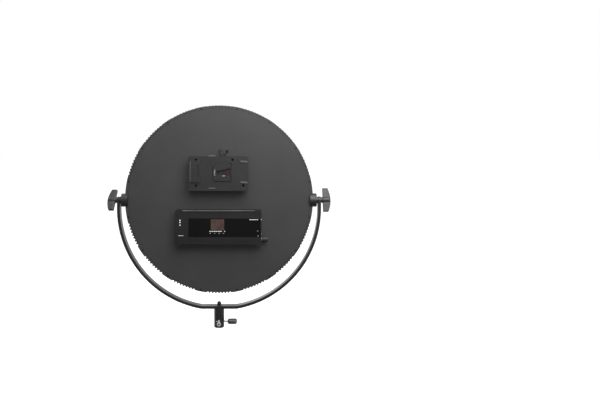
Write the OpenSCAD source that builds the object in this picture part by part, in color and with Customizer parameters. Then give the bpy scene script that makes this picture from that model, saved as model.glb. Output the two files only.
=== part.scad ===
// Round edge-lit LED panel light hung in a flat-bar yoke.
// Origin: centre of the stand socket's mouth. +Z is up, the light leaves along +Y.
// The head tilts about an axis along X, which lies pivot_drop below the head's centre.

/* [Light head] */
// Outer diameter of the round head
head_d = 480; // [400:1:600]
// Thickness of the head, from back plate to bezel face
head_t = 15; // [12:0.5:24]
// Wall of the rim frame and of its rear flange
rim_wall = 2.5; // [2:0.1:4]
// Width of the rim's rear flange
flange_w = 7; // [6.5:0.5:12]
// Thickness of the pressed back plate
plate_t = 2; // [1:0.1:3]
// Depth of the front bezel
bezel_t = 4; // [3:0.5:6]
// Face width of the front bezel
bezel_face = 16; // [15.5:0.5:24]
// Thickness of the front diffuser
diffuser_t = 1.6; // [1:0.1:2.5]
// Thickness of the light guide
guide_t = 3; // [2:0.5:4]
// Thickness of the reflector sheet
reflector_t = 0.6; // [0.4:0.1:1]
// Number of light-emitting packages of each colour
emitters = 60; // [24:1:90]

/* [Rim vents] */
// Width of one vent slot along the rim
vent_w = 4.2; // [3:0.1:5]
// Length of a vent slot on the rear flange
vent_in = 5.5; // [3:0.1:6]
// Wall left between a vent slot and the bezel
vent_front_wall = 2; // [1:0.5:6]
// Distance between neighbouring vent slots along the rim
vent_pitch = 8.2; // [7:0.1:12]
// Number of slots in one group
vents_per_group = 8; // [2:1:8]

/* [Yoke] */
// Gap between the head's rim and the yoke's arms
yoke_gap = 13; // [11:0.5:30]
// Gap between the head's rim and the yoke's flat bottom
yoke_bottom_gap = 32; // [20:1:60]
// Thickness of the yoke's flat bar
bar_t = 7.5; // [5:0.5:10]
// Width of the yoke's flat bar
bar_w = 18; // [16:0.5:26]
// Half the length of the yoke's flat bottom
flat_half = 45; // [30:1:60]

/* [Tilt pivots] */
// Diameter of the pivot blocks on the rim
block_d = 34.5; // [30:0.5:44]
// How far a pivot block stands out from the rim
block_out = 9; // [8:0.5:10]
// How far a pivot block reaches in over the rim
block_in = 8; // [5:0.5:10]
// How far the tilt axis lies below the head's centre
pivot_drop = 2.5; // [0:0.5:6]
// Radius of the tilt studs
stud_r = 4; // [3:0.25:5]
// Tip-to-tip span of a tilt knob
knob_span = 61; // [45:1:75]
// Distance from the yoke to a tilt knob's outer face
knob_reach = 25; // [22:0.5:32]
// Radius of a tilt knob's hub
knob_hub_r = 8; // [7.5:0.25:10]

/* [Stand receiver] */
// Outer diameter of the receiver
receiver_d = 26; // [24.5:0.5:36]
// Height of the receiver
receiver_len = 47.5; // [44:0.5:70]
// Radius of the socket for a 16 mm spigot
socket_r = 8.1; // [7:0.05:10]
// Depth of the socket
socket_depth = 41; // [34:0.5:41]
// Height of the lock screw above the socket's mouth
lock_z = 13; // [11:0.5:20]
// Radius of the lock screw
lock_screw_r = 2.5; // [2:0.25:4]
// Tip-to-tip span of the lock knob
lock_span = 40; // [30:1:50]

/* [Battery plate] */
// Width of the battery plate
mount_w = 148.5; // [140:0.5:180]
// Height of the battery plate
mount_h = 86; // [80:0.5:110]
// Thickness of the battery plate
mount_t = 19; // [18:0.5:24]
// Height of the battery plate's centre above the head's centre
mount_z = 67.25; // [62:0.25:90]
// Width of the spacer behind the battery plate
spacer_w = 136; // [132:1:140]
// Height of the spacer behind the battery plate
spacer_h = 76; // [74:1:78]
// Depth of the spacer behind the battery plate
spacer_t = 14.5; // [10:0.5:20]
// Travel of the battery release slide
release_travel = 4; // [2:0.5:4]
// Travel of the battery latch
latch_travel = 3; // [2:0.5:3]

/* [Controller] */
// Width of the controller case
case_w = 215; // [190:1:260]
// Height of the controller case
case_h = 89; // [80:1:110]
// Depth of the controller case
case_t = 27; // [26:1:40]
// Wall of the controller case
case_wall = 2; // [1.5:0.1:3]
// Distance from the head's centre down to the controller's top edge
case_drop = 25; // [22:1:60]
// Width of the glossy control window
window_w = 180; // [120:1:184]
// Height of the glossy control window
window_h = 47; // [40:1:60]
// Diameter of the control dial
dial_d = 14.5; // [12:0.5:18]
// Length of the control dial
dial_len = 14; // [10:0.5:20]

/* [Hidden] */
$fn = 96;

// Clearances
run_fit = 0.05;    // radial, a turning shaft in its hole
slide_fit = 0.3;   // each side, a sliding piece in its channel
seat_fit = 0.1;    // each side, a piece that sits in a pocket or beside a neighbour
cut = 1;           // how far a cutting shape runs past the face it cuts

// Head, measured from its centre: y runs from the back plate to the bezel
head_r = head_d / 2;
back_y = -head_t / 2;
face_y = head_t / 2;
bezel_y = face_y - bezel_t;
seam_r = head_r - flange_w;
rim_inner_r = head_r - rim_wall;
ledge_y = back_y + rim_wall;
rim_screw_inset = 4.5;
rim_screw_r = 1.25;
rim_screw_head_r = 2.4;
rim_screw_head_t = 1.2;
rim_screw_count = 16;
rim_screw_ring = head_r - rim_screw_inset;
post_r = 1.9;
lip_r = head_r - bezel_face;
ring_wall = 2;
ring_inset = 4;
ring_inner_r = lip_r + ring_inset;
ring_outer_r = ring_inner_r + ring_wall;
shelf_t = 1.5;
shelf_w = 1.8;
led_board_t = 1;
led_board_over = 1;
emitter_t = 1.2;
emitter_w = 3;
emitter_h = 2.4;
emitter_seat = 0.05;
guide_r = ring_inner_r - led_board_t - emitter_t - seat_fit;
vent_groups = 16;
vent_len = head_t - bezel_t - vent_front_wall;
vent_step = vent_pitch / (head_r * PI / 180);

// Yoke, measured from the head's centre
arm_in = head_r + yoke_gap;
arm_out = arm_in + bar_t;
bottom_in = head_r + yoke_bottom_gap;
bottom_out = bottom_in + bar_t;
bend_drop = bottom_out - sqrt(arm_out * arm_out - flat_half * flat_half);
head_z = receiver_len + bottom_out;
block_face = head_r + block_out;
insert_r = 6;
insert_len = 8;
stud_end_gap = 0.5;
stud_tip = block_face - insert_len + stud_end_gap;
stud_in_knob = 18;

// Knobs: grip shapes are measured from the face that the hub starts on
knob_wing_start = 5.5;
knob_tip_reach = 18.5;
knob_wing_t = 10;
lock_gap = 10;
lock_hub_r = 7;
lock_reach = 23;
lock_wing_start = 3;
lock_tip_reach = 17;
lock_wing_t = 9;
lock_screw_back = 0.5;
lock_screw_tip = socket_r + lock_screw_back;
left_knob_turn = -40;
right_knob_turn = -17;
lock_knob_turn = 78;

// Receiver fittings
bolt_r = 4;
bolt_grip = 6;
nut_r = 5.5;
nut_h = 10;
key_flat = 1;
key_t = 1.2;
key_r = 4.9;
key_z = 9.8;
key_top = 20.8;
key_shoulder = 0.7 * key_r;
key_stem_r = 1.7;
key_screw_r = 1.1;
key_screw_head_r = 2.2;
key_screw_head_t = 1;
key_screw_len = 3;
key_screw_gap = 0.5;
pin_r = 1.2;
pin_x = -5.2;
pin_z = 16.8;
pin_len = 4;
pin_proud = 0.3;

// Battery plate, measured from the head's centre
spacer_face = back_y - spacer_t;
mount_face = spacer_face - mount_t;
mount_top = mount_z + mount_h / 2;
mount_left = -mount_w / 2;
mount_right = mount_w / 2;
corner_r = 2.5;
// Screw positions from the plate's centre: [x, z]
plate_screw_at = [[-55, 34.5], [35.5, 34.5], [-55, -29.5], [62, -29.5]];
plate_screw_r = 1.5;
plate_screw_head_r = 2.8;
plate_screw_head_t = 2.5;
plate_screw_floor = 4;
plate_screw_grip = 10;
spacer_pocket = [80, 44, 9];
socket_x = [-12.5, 31];
socket_zc = 3;
socket_half = 21.5;
socket_left_top = 14.5;
socket_chamfer = 2;
socket_pocket = 8;
socket_proud = 2;
socket_floor_t = 1;
socket_back_t = 1.5;
socket_round = 8;
socket_groove_w = 1.8;
socket_groove_deep = 3;
v_mouth_half = 11.8;
v_throat_half = 4.7;
v_throat_x = 3;
v_end_x = -4.5;
latch_x = [-10.5, -7.2];
latch_half = 7.3;
latch_proud = 3;
latch_back = 6;
latch_pin_r = 0.9;
latch_pin_len = 1.8;
latch_pin_y = 8.6;
slide_x = [-24, -11.5];
slide_head_x = [-24, -7];
slide_y = [5, 9.5];
slide_head_y = [5, 17];
slide_head_h = 9;
slide_up = 2.6;
slide_low = 16;
spring_r = 1.8;
spring_wall = 0.4;
spring_len = 7;
terminal_x = [5.2, 29.4];
terminal_half = 26.8;
terminal_zc = 5;
terminal_proud = 3;
terminal_slot = [22.2, 26];
terminal_slot_half = 16;
contact_count = 4;
contact_t = 0.8;
contact_w = 2.4;
contact_set = 2;
hook_len = 17.5;
hook_h = 3.6;
hook_proud = 3;
hook_edge = 1.8;
hook_z = [29, -22.5];
hook_slant = 5;
ridge_h = 2.2;
ridge_proud = 1.8;
ridge_up = 5.5;
roller_r = 1.3;
roller_len = 6;
roller_at = [11, -8.6];

// Battery leads: both rise from the plate's top edge and bend into the back plate
lead_r = 1.75;
lead_rise = 7;
lead_bend = 6.5;
lead_y = 9;
lead_x = [5.5, 15];
lead_turn = [-4, 16];
grommet_r = 3.8;
grommet_neck_r = 2.9;
grommet_h = 3;
lead_run = spacer_t + mount_t - lead_y;

// Controller, measured from the head's centre
case_top = -case_drop;
case_bottom = case_top - case_h;
case_mid = (case_top + case_bottom) / 2;
case_back = back_y;
case_face = back_y - case_t;
base_t = 2;
lip_h = 12;
window_t = 1;
window_edge = 2.5;
window_top = 19.5;
window_x = [case_w / 2 - window_edge - window_w, case_w / 2 - window_edge];
window_z = [case_top - window_top - window_h, case_top - window_top];
lcd_w = 33.5;
lcd_h = 27;
lcd_t = 3.5;
lcd_x = -19;
lcd_drop = 2.5;
lcd_set = 0.3;
case_vent_w = 2.4;
case_vent_pitch = 5.2;
case_vent_edge = 14;
case_vent_front = 5;
case_vent_back = 5;
case_vents = floor((case_w - 2 * case_vent_edge) / case_vent_pitch) + 1;
groove_w = 0.8;
groove_drop = 10.5;
status_share = 23 / 65;   // of the strip between the case's left end and the window
status_x = status_share * (case_w - window_edge - window_w);
status_drop = [24.5, 29.7, 36.7];
status_r = 1.5;
status_proud = 0.2;
case_screw_r = 1.25;
case_screw_head_r = 2.4;
case_screw_head_t = 1.2;
case_screw_inset = 26.5;
case_screw_z = case_h / 2 - case_screw_inset;
case_screw_y = 6;
case_screw_len = 7;
case_screw_end = 1;
board_t = 1.6;
board_edge = 8;
driver_gap = 4;
coil_r = 7;
coil_h = 9;
coils = 4;
coil_pitch = 20;
coil_inset = 42;
coil_drop = 30;
sink_w = 44;
sink_h = 52;
sink_t = 11;
sink_fins = 8;
sink_fin_t = 1.5;
sink_inset = 22;
sink_base_t = 2.5;
encoder_w = 12;
encoder_t = 6.5;
encoder_shaft_r = 3;
shaft_hole_gap = 0.5;
dial_gap = 2;
dial_up = 15;
dial_bore_deep = 10;
shaft_end_gap = 1;
dial_ribs = 24;
dial_rib_r = 0.5;
dial_end_t = 1;
dial_nut_r = 5;
dial_nut_t = 1.6;
dial_z = case_bottom + dial_up;
dial_y = back_y - case_t / 2;

// Moves shapes from the head's centre to its height above the socket's mouth
module at_head() translate([0, 0, head_z]) children();

// Moves shapes from the tilt axis to its height above the socket's mouth
module at_axis() translate([0, 0, head_z - pivot_drop]) children();

// Turns a shape built along Z so that it runs along +Y
module along_y() rotate([-90, 0, 0]) children();

// Turns a shape built along Z so that it runs along +X
module along_x() rotate([0, 90, 0]) children();

// A box from three pairs of lowest and highest coordinates
module slab(x, y, z)
    translate([x[0], y[0], z[0]])
        cube([x[1] - x[0], y[1] - y[0], z[1] - z[0]]);

// A flat ring or disc in the head, between two y values
module head_disc(r_in, r_out, y)
    translate([0, y[0], 0])
        along_y()
            difference() {
                cylinder(r = r_out, h = y[1] - y[0], $fn = 180);
                if (r_in > 0)
                    translate([0, 0, -cut]) cylinder(r = r_in, h = y[1] - y[0] + 2 * cut, $fn = 180);
            }

// A rectangle with round corners
module round_rect(w, h, r) {
    square([w - 2 * r, h], center = true);
    square([w, h - 2 * r], center = true);
    for (x = [-1, 1], y = [-1, 1])
        translate([x * (w / 2 - r), y * (h / 2 - r)]) circle(r);
}

// A plate with round corners: width along X, height along Z, between two y values
module round_plate(w, h, r, y)
    translate([0, y[0], 0])
        along_y()
            linear_extrude(y[1] - y[0]) round_rect(w, h, r);

// Repeats a shape at every screw position round the rim
module at_rim_screws()
    for (i = [0:rim_screw_count - 1])
        rotate([0, (i + 0.5) * 360 / rim_screw_count, 0])
            translate([rim_screw_ring, 0, 0]) children();

// ---- Light head ----

module rim_vents()
    for (group = [0:vent_groups - 1])
        if (group % (vent_groups / 2) != 0)
            for (i = [0:vents_per_group - 1])
                rotate([0, group * 360 / vent_groups + (i - (vents_per_group - 1) / 2) * vent_step, 0])
                    slab([head_r - vent_in, head_r + cut], [back_y - cut, back_y + vent_len],
                         [-vent_w / 2, vent_w / 2]);

module rim_frame()
    color("dimgray") at_head()
        difference() {
            along_y()
                rotate_extrude($fn = 180)
                    polygon([[seam_r, back_y], [head_r, back_y], [head_r, bezel_y],
                             [rim_inner_r, bezel_y], [rim_inner_r, ledge_y], [seam_r, ledge_y]]);
            rim_vents();
            at_rim_screws() {
                translate([0, back_y - cut, 0])
                    along_y() cylinder(r = rim_screw_head_r + seat_fit, h = rim_screw_head_t + cut, $fn = 24);
                translate([0, back_y, 0])
                    along_y() cylinder(r = rim_screw_r + seat_fit, h = rim_wall + cut, $fn = 24);
            }
        }

module back_plate()
    color("dimgray") at_head()
        difference() {
            along_y()
                rotate_extrude($fn = 180)
                    polygon([[0, back_y], [seam_r - slide_fit, back_y], [seam_r - slide_fit, ledge_y],
                             [rim_inner_r - slide_fit, ledge_y], [rim_inner_r - slide_fit, ledge_y + plate_t],
                             [seam_r - slide_fit - plate_t, ledge_y + plate_t],
                             [seam_r - slide_fit - plate_t, back_y + plate_t], [0, back_y + plate_t]]);
            at_rim_screws()
                translate([0, ledge_y - cut, 0])
                    along_y() cylinder(r = rim_screw_r + seat_fit, h = plate_t + 2 * cut, $fn = 24);
            for (i = [0, 1])
                at_grommet(i) translate([0, -cut, 0])
                    along_y() cylinder(r = grommet_neck_r + seat_fit, h = plate_t + 2 * cut, $fn = 32);
        }

module front_bezel()
    color("gray") at_head()
        difference() {
            union() {
                along_y()
                    rotate_extrude($fn = 180)
                        polygon([[lip_r, face_y], [head_r, face_y], [head_r, bezel_y],
                                 [ring_outer_r + shelf_w + seat_fit, bezel_y],
                                 [ring_outer_r + shelf_w + seat_fit, bezel_y + diffuser_t + seat_fit],
                                 [lip_r, bezel_y + diffuser_t + seat_fit]]);
                at_rim_screws()
                    translate([0, ledge_y + plate_t, 0])
                        along_y() cylinder(r = post_r, h = bezel_y - ledge_y - plate_t + cut, $fn = 32);
            }
            at_rim_screws()
                translate([0, ledge_y, 0])
                    along_y() cylinder(r = rim_screw_r, h = bezel_y - ledge_y, $fn = 24);
        }

module diffuser()
    color("ivory") at_head()
        head_disc(0, ring_outer_r + shelf_w, [bezel_y, bezel_y + diffuser_t]);

module reflector()
    color("white") at_head()
        head_disc(0, guide_r, [back_y + plate_t, back_y + plate_t + reflector_t]);

module light_guide()
    color("lightcyan") at_head()
        head_disc(0, guide_r, [back_y + plate_t + reflector_t, back_y + plate_t + reflector_t + guide_t]);

module heat_ring()
    color("silver") at_head()
        along_y()
            rotate_extrude($fn = 180)
                polygon([[ring_inner_r, back_y + plate_t], [ring_outer_r, back_y + plate_t],
                         [ring_outer_r, bezel_y - shelf_t], [ring_outer_r + shelf_w, bezel_y - shelf_t],
                         [ring_outer_r + shelf_w, bezel_y], [ring_inner_r, bezel_y]]);

module led_board()
    color("white") at_head()
        head_disc(ring_inner_r - led_board_t, ring_inner_r,
                  [back_y + plate_t, back_y + plate_t + reflector_t + guide_t + led_board_over]);

// Every second package round the ring, starting with the one that the phase gives
module emitter_ring(phase)
    for (i = [0:emitters - 1])
        rotate([0, (i + phase) * 360 / emitters, 0])
            slab([ring_inner_r - led_board_t - emitter_t, ring_inner_r - led_board_t - emitter_seat],
                 [back_y + plate_t + reflector_t, back_y + plate_t + reflector_t + emitter_h],
                 [-emitter_w / 2, emitter_w / 2]);

module warm_emitters()
    color("orange") at_head() emitter_ring(0.25);

module cool_emitters()
    color("khaki") at_head() emitter_ring(0.75);

module rim_screws()
    color("black") at_head()
        at_rim_screws()
            translate([0, back_y, 0])
                along_y() {
                    cylinder(r = rim_screw_head_r, h = rim_screw_head_t, $fn = 24);
                    cylinder(r = rim_screw_r - seat_fit / 2, h = bezel_y - back_y - cut, $fn = 24);
                }

// ---- Tilt pivots: side is -1 on the left and 1 on the right ----

module pivot_block(side)
    color("dimgray") at_head()
        difference() {
            translate([side * (head_r - block_in), 0, -pivot_drop])
                rotate([0, side * 90, 0]) cylinder(d = block_d, h = block_in + block_out);
            head_disc(0, head_r + seat_fit, [back_y, face_y]);
            translate([side * (block_face - insert_len), 0, -pivot_drop])
                rotate([0, side * 90, 0]) cylinder(r = insert_r + seat_fit, h = insert_len + cut);
        }

module pivot_block_left() pivot_block(-1);
module pivot_block_right() pivot_block(1);

module pivot_insert(side)
    color("goldenrod") at_axis()
        translate([side * (block_face - insert_len), 0, 0])
            rotate([0, side * 90, 0])
                difference() {
                    cylinder(r = insert_r, h = insert_len);
                    translate([0, 0, -cut]) cylinder(r = stud_r + run_fit, h = insert_len + 2 * cut);
                }

module pivot_insert_left() pivot_insert(-1);
module pivot_insert_right() pivot_insert(1);

module pivot_washer(side)
    color("black") at_axis()
        translate([side * block_face, 0, 0])
            rotate([0, side * 90, 0])
                difference() {
                    cylinder(r = knob_hub_r, h = arm_in - block_face);
                    translate([0, 0, -cut])
                        cylinder(r = stud_r + run_fit, h = arm_in - block_face + 2 * cut);
                }

module pivot_washer_left() pivot_washer(-1);
module pivot_washer_right() pivot_washer(1);

module tilt_stud(side)
    color("silver") at_axis()
        translate([side * stud_tip, 0, 0])
            rotate([0, side * 90, 0])
                cylinder(r = stud_r, h = arm_out + stud_in_knob - stud_tip);

module tilt_stud_left() tilt_stud(-1);
module tilt_stud_right() tilt_stud(1);

// A bar-grip knob built along +X from its hub's face: the wings lie along Z, the outer edge is an arc
module wing_knob(hub_r, reach, wing_start, tip_reach, span, wing_t, bore_r, bore_deep) {
    sag = reach - tip_reach;
    boss_set = sag / 4;
    edge_r = (span * span / 4 + sag * sag) / (2 * sag);
    difference() {
        union() {
            along_x() cylinder(r = hub_r, h = reach - boss_set);
            translate([0, wing_t / 2, 0])
                rotate([90, 0, 0])
                    linear_extrude(wing_t)
                        intersection() {
                            translate([wing_start, -span / 2]) square([reach - wing_start, span]);
                            translate([reach - edge_r, 0]) circle(edge_r, $fn = 180);
                        }
        }
        translate([-cut, 0, 0]) along_x() cylinder(r = bore_r, h = bore_deep + cut);
    }
}

module tilt_knob(side, turn)
    color("dimgray") at_axis()
        translate([side * arm_out, 0, 0])
            rotate([turn, 0, 0])
                mirror([side < 0 ? 1 : 0, 0, 0])
                    wing_knob(knob_hub_r, knob_reach, knob_wing_start, knob_tip_reach, knob_span,
                              knob_wing_t, stud_r + run_fit, stud_in_knob);

module tilt_knob_left() tilt_knob(-1, left_knob_turn);
module tilt_knob_right() tilt_knob(1, right_knob_turn);

// ---- Battery plate ----

// Moves shapes from the battery plate's centre and front face to the head's centre
module at_mount() translate([0, mount_face, mount_z]) children();

module at_plate_screws()
    for (p = plate_screw_at) translate([p[0], 0, p[1]]) children();

module battery_spacer()
    color("black") at_head()
        difference() {
            translate([0, 0, mount_z]) round_plate(spacer_w, spacer_h, corner_r, [spacer_face, back_y]);
            translate([0, back_y - spacer_pocket[2], mount_z])
                round_plate(spacer_pocket[0], spacer_pocket[1], corner_r, [0, spacer_pocket[2] + cut]);
            at_mount() at_plate_screws()
                translate([0, mount_t, 0])
                    along_y() cylinder(r = plate_screw_r + run_fit, h = plate_screw_grip, $fn = 32);
        }

module battery_plate()
    color("black") at_head() at_mount()
        difference() {
            union() {
                round_plate(mount_w, mount_h, corner_r, [0, mount_t]);
                slab([slide_x[0], slide_head_x[1]], [-ridge_proud, 0],
                     [ridge_up - mount_h / 2, ridge_up + ridge_h - mount_h / 2]);
            }
            at_plate_screws() {
                translate([0, -cut, 0])
                    along_y()
                        cylinder(r = plate_screw_head_r + seat_fit, h = mount_t - plate_screw_floor + cut,
                                 $fn = 32);
                along_y() cylinder(r = plate_screw_r + seat_fit, h = mount_t + cut, $fn = 32);
            }
            slab([socket_x[0] - seat_fit, socket_x[1] + seat_fit], [-cut, socket_pocket],
                 [socket_zc - socket_half - seat_fit, socket_zc + socket_half + seat_fit]);
            translate([0, -cut, socket_zc])
                along_y() linear_extrude(socket_groove_deep + cut) socket_outline(socket_groove_w);
            slab([slide_x[1], latch_x[1] + slide_fit],
                 [socket_pocket - cut, mount_t - latch_back + latch_travel + slide_fit],
                 [socket_zc - latch_half - slide_fit, socket_zc + latch_half + slide_fit]);
            slide_channel();
        }

// The channel that holds the release slide and its spring
module slide_channel() {
    floor_z = slide_low - mount_h / 2 - spring_len;
    slab([slide_x[0] - slide_fit, slide_x[1] + slide_fit],
         [mount_t - slide_y[1] - slide_fit, mount_t - slide_y[0] + slide_fit], [floor_z, mount_h / 2 + cut]);
    slab([slide_head_x[0] - slide_fit, slide_head_x[1] + slide_fit],
         [mount_t - slide_head_y[1] - slide_fit, mount_t - slide_head_y[0] + slide_fit],
         [mount_h / 2 - slide_head_h - release_travel - slide_fit, mount_h / 2 + cut]);
}

// Places a shape on the latch's pin
module at_latch_pin() translate([latch_x[0], mount_t - latch_pin_y, socket_zc]) children();

// A slide with a push button on top and a slanted groove that draws the latch's pin back
module release_slide()
    color("dimgray") at_head() at_mount()
        difference() {
            union() {
                slab(slide_x, [mount_t - slide_y[1], mount_t - slide_y[0]],
                     [slide_low - mount_h / 2, mount_h / 2 - slide_head_h]);
                slab(slide_head_x, [mount_t - slide_head_y[1], mount_t - slide_head_y[0]],
                     [mount_h / 2 - slide_head_h, mount_h / 2 + slide_up]);
            }
            at_latch_pin()
                rotate([-atan(latch_travel / release_travel), 0, 0])
                    slab([slide_x[1] - latch_x[0] - latch_pin_len - slide_fit, 0],
                         [-latch_pin_r - slide_fit, latch_pin_r + slide_fit],
                         [-latch_pin_r - slide_fit,
                          norm([latch_travel, release_travel]) + latch_pin_r + slide_fit]);
        }

// The room that the coil spring fills: a thin sleeve below the slide
module release_spring()
    color("silver") at_head() at_mount()
        translate([(slide_x[0] + slide_x[1]) / 2, mount_t - (slide_y[0] + slide_y[1]) / 2,
                   slide_low - mount_h / 2 - spring_len])
            difference() {
                cylinder(r = spring_r, h = spring_len, $fn = 32);
                translate([0, 0, -cut])
                    cylinder(r = spring_r - spring_wall, h = spring_len + 2 * cut, $fn = 32);
            }

module battery_latch()
    color("silver") at_head() at_mount() {
        slab(latch_x, [-latch_proud, mount_t - latch_back],
             [socket_zc - latch_half, socket_zc + latch_half]);
        at_latch_pin()
            translate([slide_x[1] - latch_x[0] - latch_pin_len, 0, 0])
                along_x() cylinder(r = latch_pin_r, h = latch_x[0] - slide_x[1] + latch_pin_len, $fn = 24);
    }

module plate_screws()
    color("black") at_head() at_mount() at_plate_screws()
        translate([0, mount_t - plate_screw_floor - plate_screw_head_t, 0])
            along_y() {
                cylinder(r = plate_screw_head_r, h = plate_screw_head_t, $fn = 32);
                cylinder(r = plate_screw_r, $fn = 32,
                         h = plate_screw_head_t + plate_screw_floor + plate_screw_grip - cut);
            }

// Outline of the wedge-shaped recess, with its wide end at +X
module v_outline()
    polygon([[socket_x[1] + cut, v_mouth_half], [v_throat_x, v_throat_half], [v_end_x, v_throat_half],
             [v_end_x, -v_throat_half], [v_throat_x, -v_throat_half], [socket_x[1] + cut, -v_mouth_half]]);

// Outline of the socket's raised face with a border all round: its top slants, its lower left is round.
// Here +Y is down, because along_y() turns it to -Z.
module socket_outline(border) {
    left = socket_x[0] - border;
    right = socket_x[1] + border;
    half = socket_half + border;
    left_top = socket_left_top + border;
    polygon([[right, half], [right, -half], [left + socket_chamfer, -left_top],
             [left, socket_chamfer - left_top], [left, half - socket_round], [left + socket_round, half]]);
    translate([left + socket_round, half - socket_round]) circle(socket_round);
}

module v_socket()
    color("black") at_head() at_mount()
        translate([0, 0, socket_zc])
            difference() {
                union() {
                    slab(socket_x, [0, socket_pocket], [-socket_half, socket_half]);
                    translate([0, -socket_proud, 0])
                        along_y() linear_extrude(socket_proud) socket_outline(0);
                }
                translate([0, -socket_proud - cut, 0])
                    along_y() linear_extrude(socket_pocket - socket_back_t + socket_proud + cut) v_outline();
                slab([latch_x[0] - slide_fit, latch_x[1] + slide_fit],
                     [-socket_proud - cut, socket_pocket + cut],
                     [-latch_half - slide_fit, latch_half + slide_fit]);
            }

module v_socket_floor()
    color("maroon") at_head() at_mount()
        translate([0, socket_pocket - socket_back_t - socket_floor_t, socket_zc])
            along_y()
                linear_extrude(socket_floor_t)
                    intersection() {
                        v_outline();
                        translate([v_throat_x, -v_mouth_half])
                            square([socket_x[1] - v_throat_x, 2 * v_mouth_half]);
                    }

module detent_roller()
    color("silver") at_head() at_mount()
        translate([roller_at[0], -socket_proud - roller_r, socket_zc + roller_at[1]])
            along_x() cylinder(r = roller_r, h = roller_len, $fn = 24);

module terminal_block()
    color("black") at_head() at_mount()
        difference() {
            slab([mount_left + terminal_x[0], mount_left + terminal_x[1]], [-terminal_proud, 0],
                 [terminal_zc - terminal_half, terminal_zc + terminal_half]);
            slab([mount_left + terminal_slot[0], mount_left + terminal_slot[1]],
                 [-terminal_proud - cut, cut],
                 [terminal_zc - terminal_slot_half, terminal_zc + terminal_slot_half]);
        }

module battery_contacts()
    color("gold") at_head() at_mount()
        for (i = [0:contact_count - 1])
            translate([mount_left + terminal_slot[0], 0,
                       terminal_zc + (i - (contact_count - 1) / 2) * 2 * terminal_slot_half / contact_count])
                slab([seat_fit, contact_w], [contact_set - terminal_proud, 0],
                     [-contact_t / 2, contact_t / 2]);

module plate_hooks()
    color("dimgray") at_head() at_mount()
        for (z = hook_z)
            translate([mount_right - hook_edge - hook_len, 0, z])
                rotate([0, hook_slant, 0])
                    slab([0, hook_len], [-hook_proud, 0], [0, hook_h]);

// Places a shape at the centre of a lead's hole in the back plate
module at_grommet(i)
    translate([lead_x[i] + tan(lead_turn[i]) * lead_run, back_y, mount_top + lead_rise + lead_bend])
        children();

// A lead rises from the plate, bends through a quarter turn and runs into its grommet
module lead(i)
    at_head()
        translate([lead_x[i], mount_face + lead_y, mount_top])
            rotate([0, 0, -lead_turn[i]]) {
                cylinder(r = lead_r, h = lead_rise, $fn = 32);
                translate([0, lead_bend, lead_rise])
                    rotate([90, 0, -90])
                        rotate_extrude(angle = 90, $fn = 64)
                            translate([lead_bend, 0]) circle(lead_r, $fn = 32);
                translate([0, lead_bend, lead_rise + lead_bend])
                    along_y()
                        cylinder(r = lead_r, h = lead_run / cos(lead_turn[i]) - lead_bend - grommet_h / 2,
                                 $fn = 32);
            }

module lead_black() color("black") lead(0);
module lead_red() color("darkred") lead(1);

module lead_grommets()
    color("black") at_head()
        for (i = [0, 1])
            at_grommet(i)
                difference() {
                    union() {
                        translate([0, -grommet_h, 0])
                            along_y() cylinder(r = grommet_r, h = grommet_h, $fn = 32);
                        along_y() cylinder(r = grommet_neck_r, h = plate_t, $fn = 32);
                    }
                    rotate([0, 0, -lead_turn[i]])
                        translate([0, -2 * grommet_h, 0])
                            along_y() cylinder(r = lead_r + run_fit, h = 2 * grommet_h, $fn = 32);
                }

// ---- Controller ----

module controller_base()
    color("dimgray") at_head() {
        slab([-case_w / 2 + case_wall + seat_fit, case_w / 2 - case_wall - seat_fit],
             [case_back - base_t, case_back],
             [case_bottom + case_wall + seat_fit, case_top - case_wall - seat_fit]);
        for (side = [-1, 1])
            base_lip(side);
    }

// An upright lip at one end of the base, threaded for the case screws
module base_lip(side) {
    x_out = case_w / 2 - case_wall - seat_fit;
    difference() {
        slab(side > 0 ? [x_out - base_t, x_out] : [-x_out, base_t - x_out],
             [case_back - lip_h, case_back - base_t],
             [case_mid - case_screw_z - 2 * case_screw_head_r,
              case_mid + case_screw_z + 2 * case_screw_head_r]);
        at_case_screws(side)
            translate([0, 0, -case_screw_len])
                cylinder(r = case_screw_r + run_fit, h = case_screw_len, $fn = 24);
    }
}

// Places a shape on one end of the case, at both case screws, pointing outwards
module at_case_screws(side)
    for (z = [-1, 1])
        translate([side * case_w / 2, case_back - base_t - case_screw_y, case_mid + z * case_screw_z])
            rotate([0, side * 90, 0]) children();

module controller_case()
    color("black") at_head()
        difference() {
            translate([0, 0, case_mid])
                round_plate(case_w, case_h, corner_r, [case_face, case_back]);
            slab([-case_w / 2 + case_wall, case_w / 2 - case_wall], [case_face + case_wall, case_back + cut],
                 [case_bottom + case_wall, case_top - case_wall]);
            slab([window_x[0] - seat_fit, window_x[1] + seat_fit], [case_face - cut, case_face + window_t],
                 [window_z[0] - seat_fit, window_z[1] + seat_fit]);
            slab([lcd_x - seat_fit, lcd_x + lcd_w + seat_fit], [case_face, case_face + case_wall + cut],
                 [window_z[1] - lcd_drop - lcd_h - seat_fit, window_z[1] - lcd_drop + seat_fit]);
            case_vent_slots();
            slab([window_x[0], window_x[1]], [case_face - cut, case_face + groove_w],
                 [window_z[0] - groove_drop, window_z[0] - groove_drop + groove_w]);
            for (drop = status_drop)
                translate([status_x - case_w / 2, case_face - cut, case_top - drop])
                    along_y() cylinder(r = status_r + seat_fit, h = case_wall + 2 * cut, $fn = 24);
            for (side = [-1, 1])
                at_case_screws(side)
                    translate([0, 0, -case_wall - cut])
                        cylinder(r = case_screw_r + seat_fit, h = case_wall + 2 * cut, $fn = 24);
            translate([case_w / 2 - case_wall - cut, dial_y, dial_z])
                along_x() cylinder(r = encoder_shaft_r + shaft_hole_gap, h = case_wall + 2 * cut, $fn = 32);
        }

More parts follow.
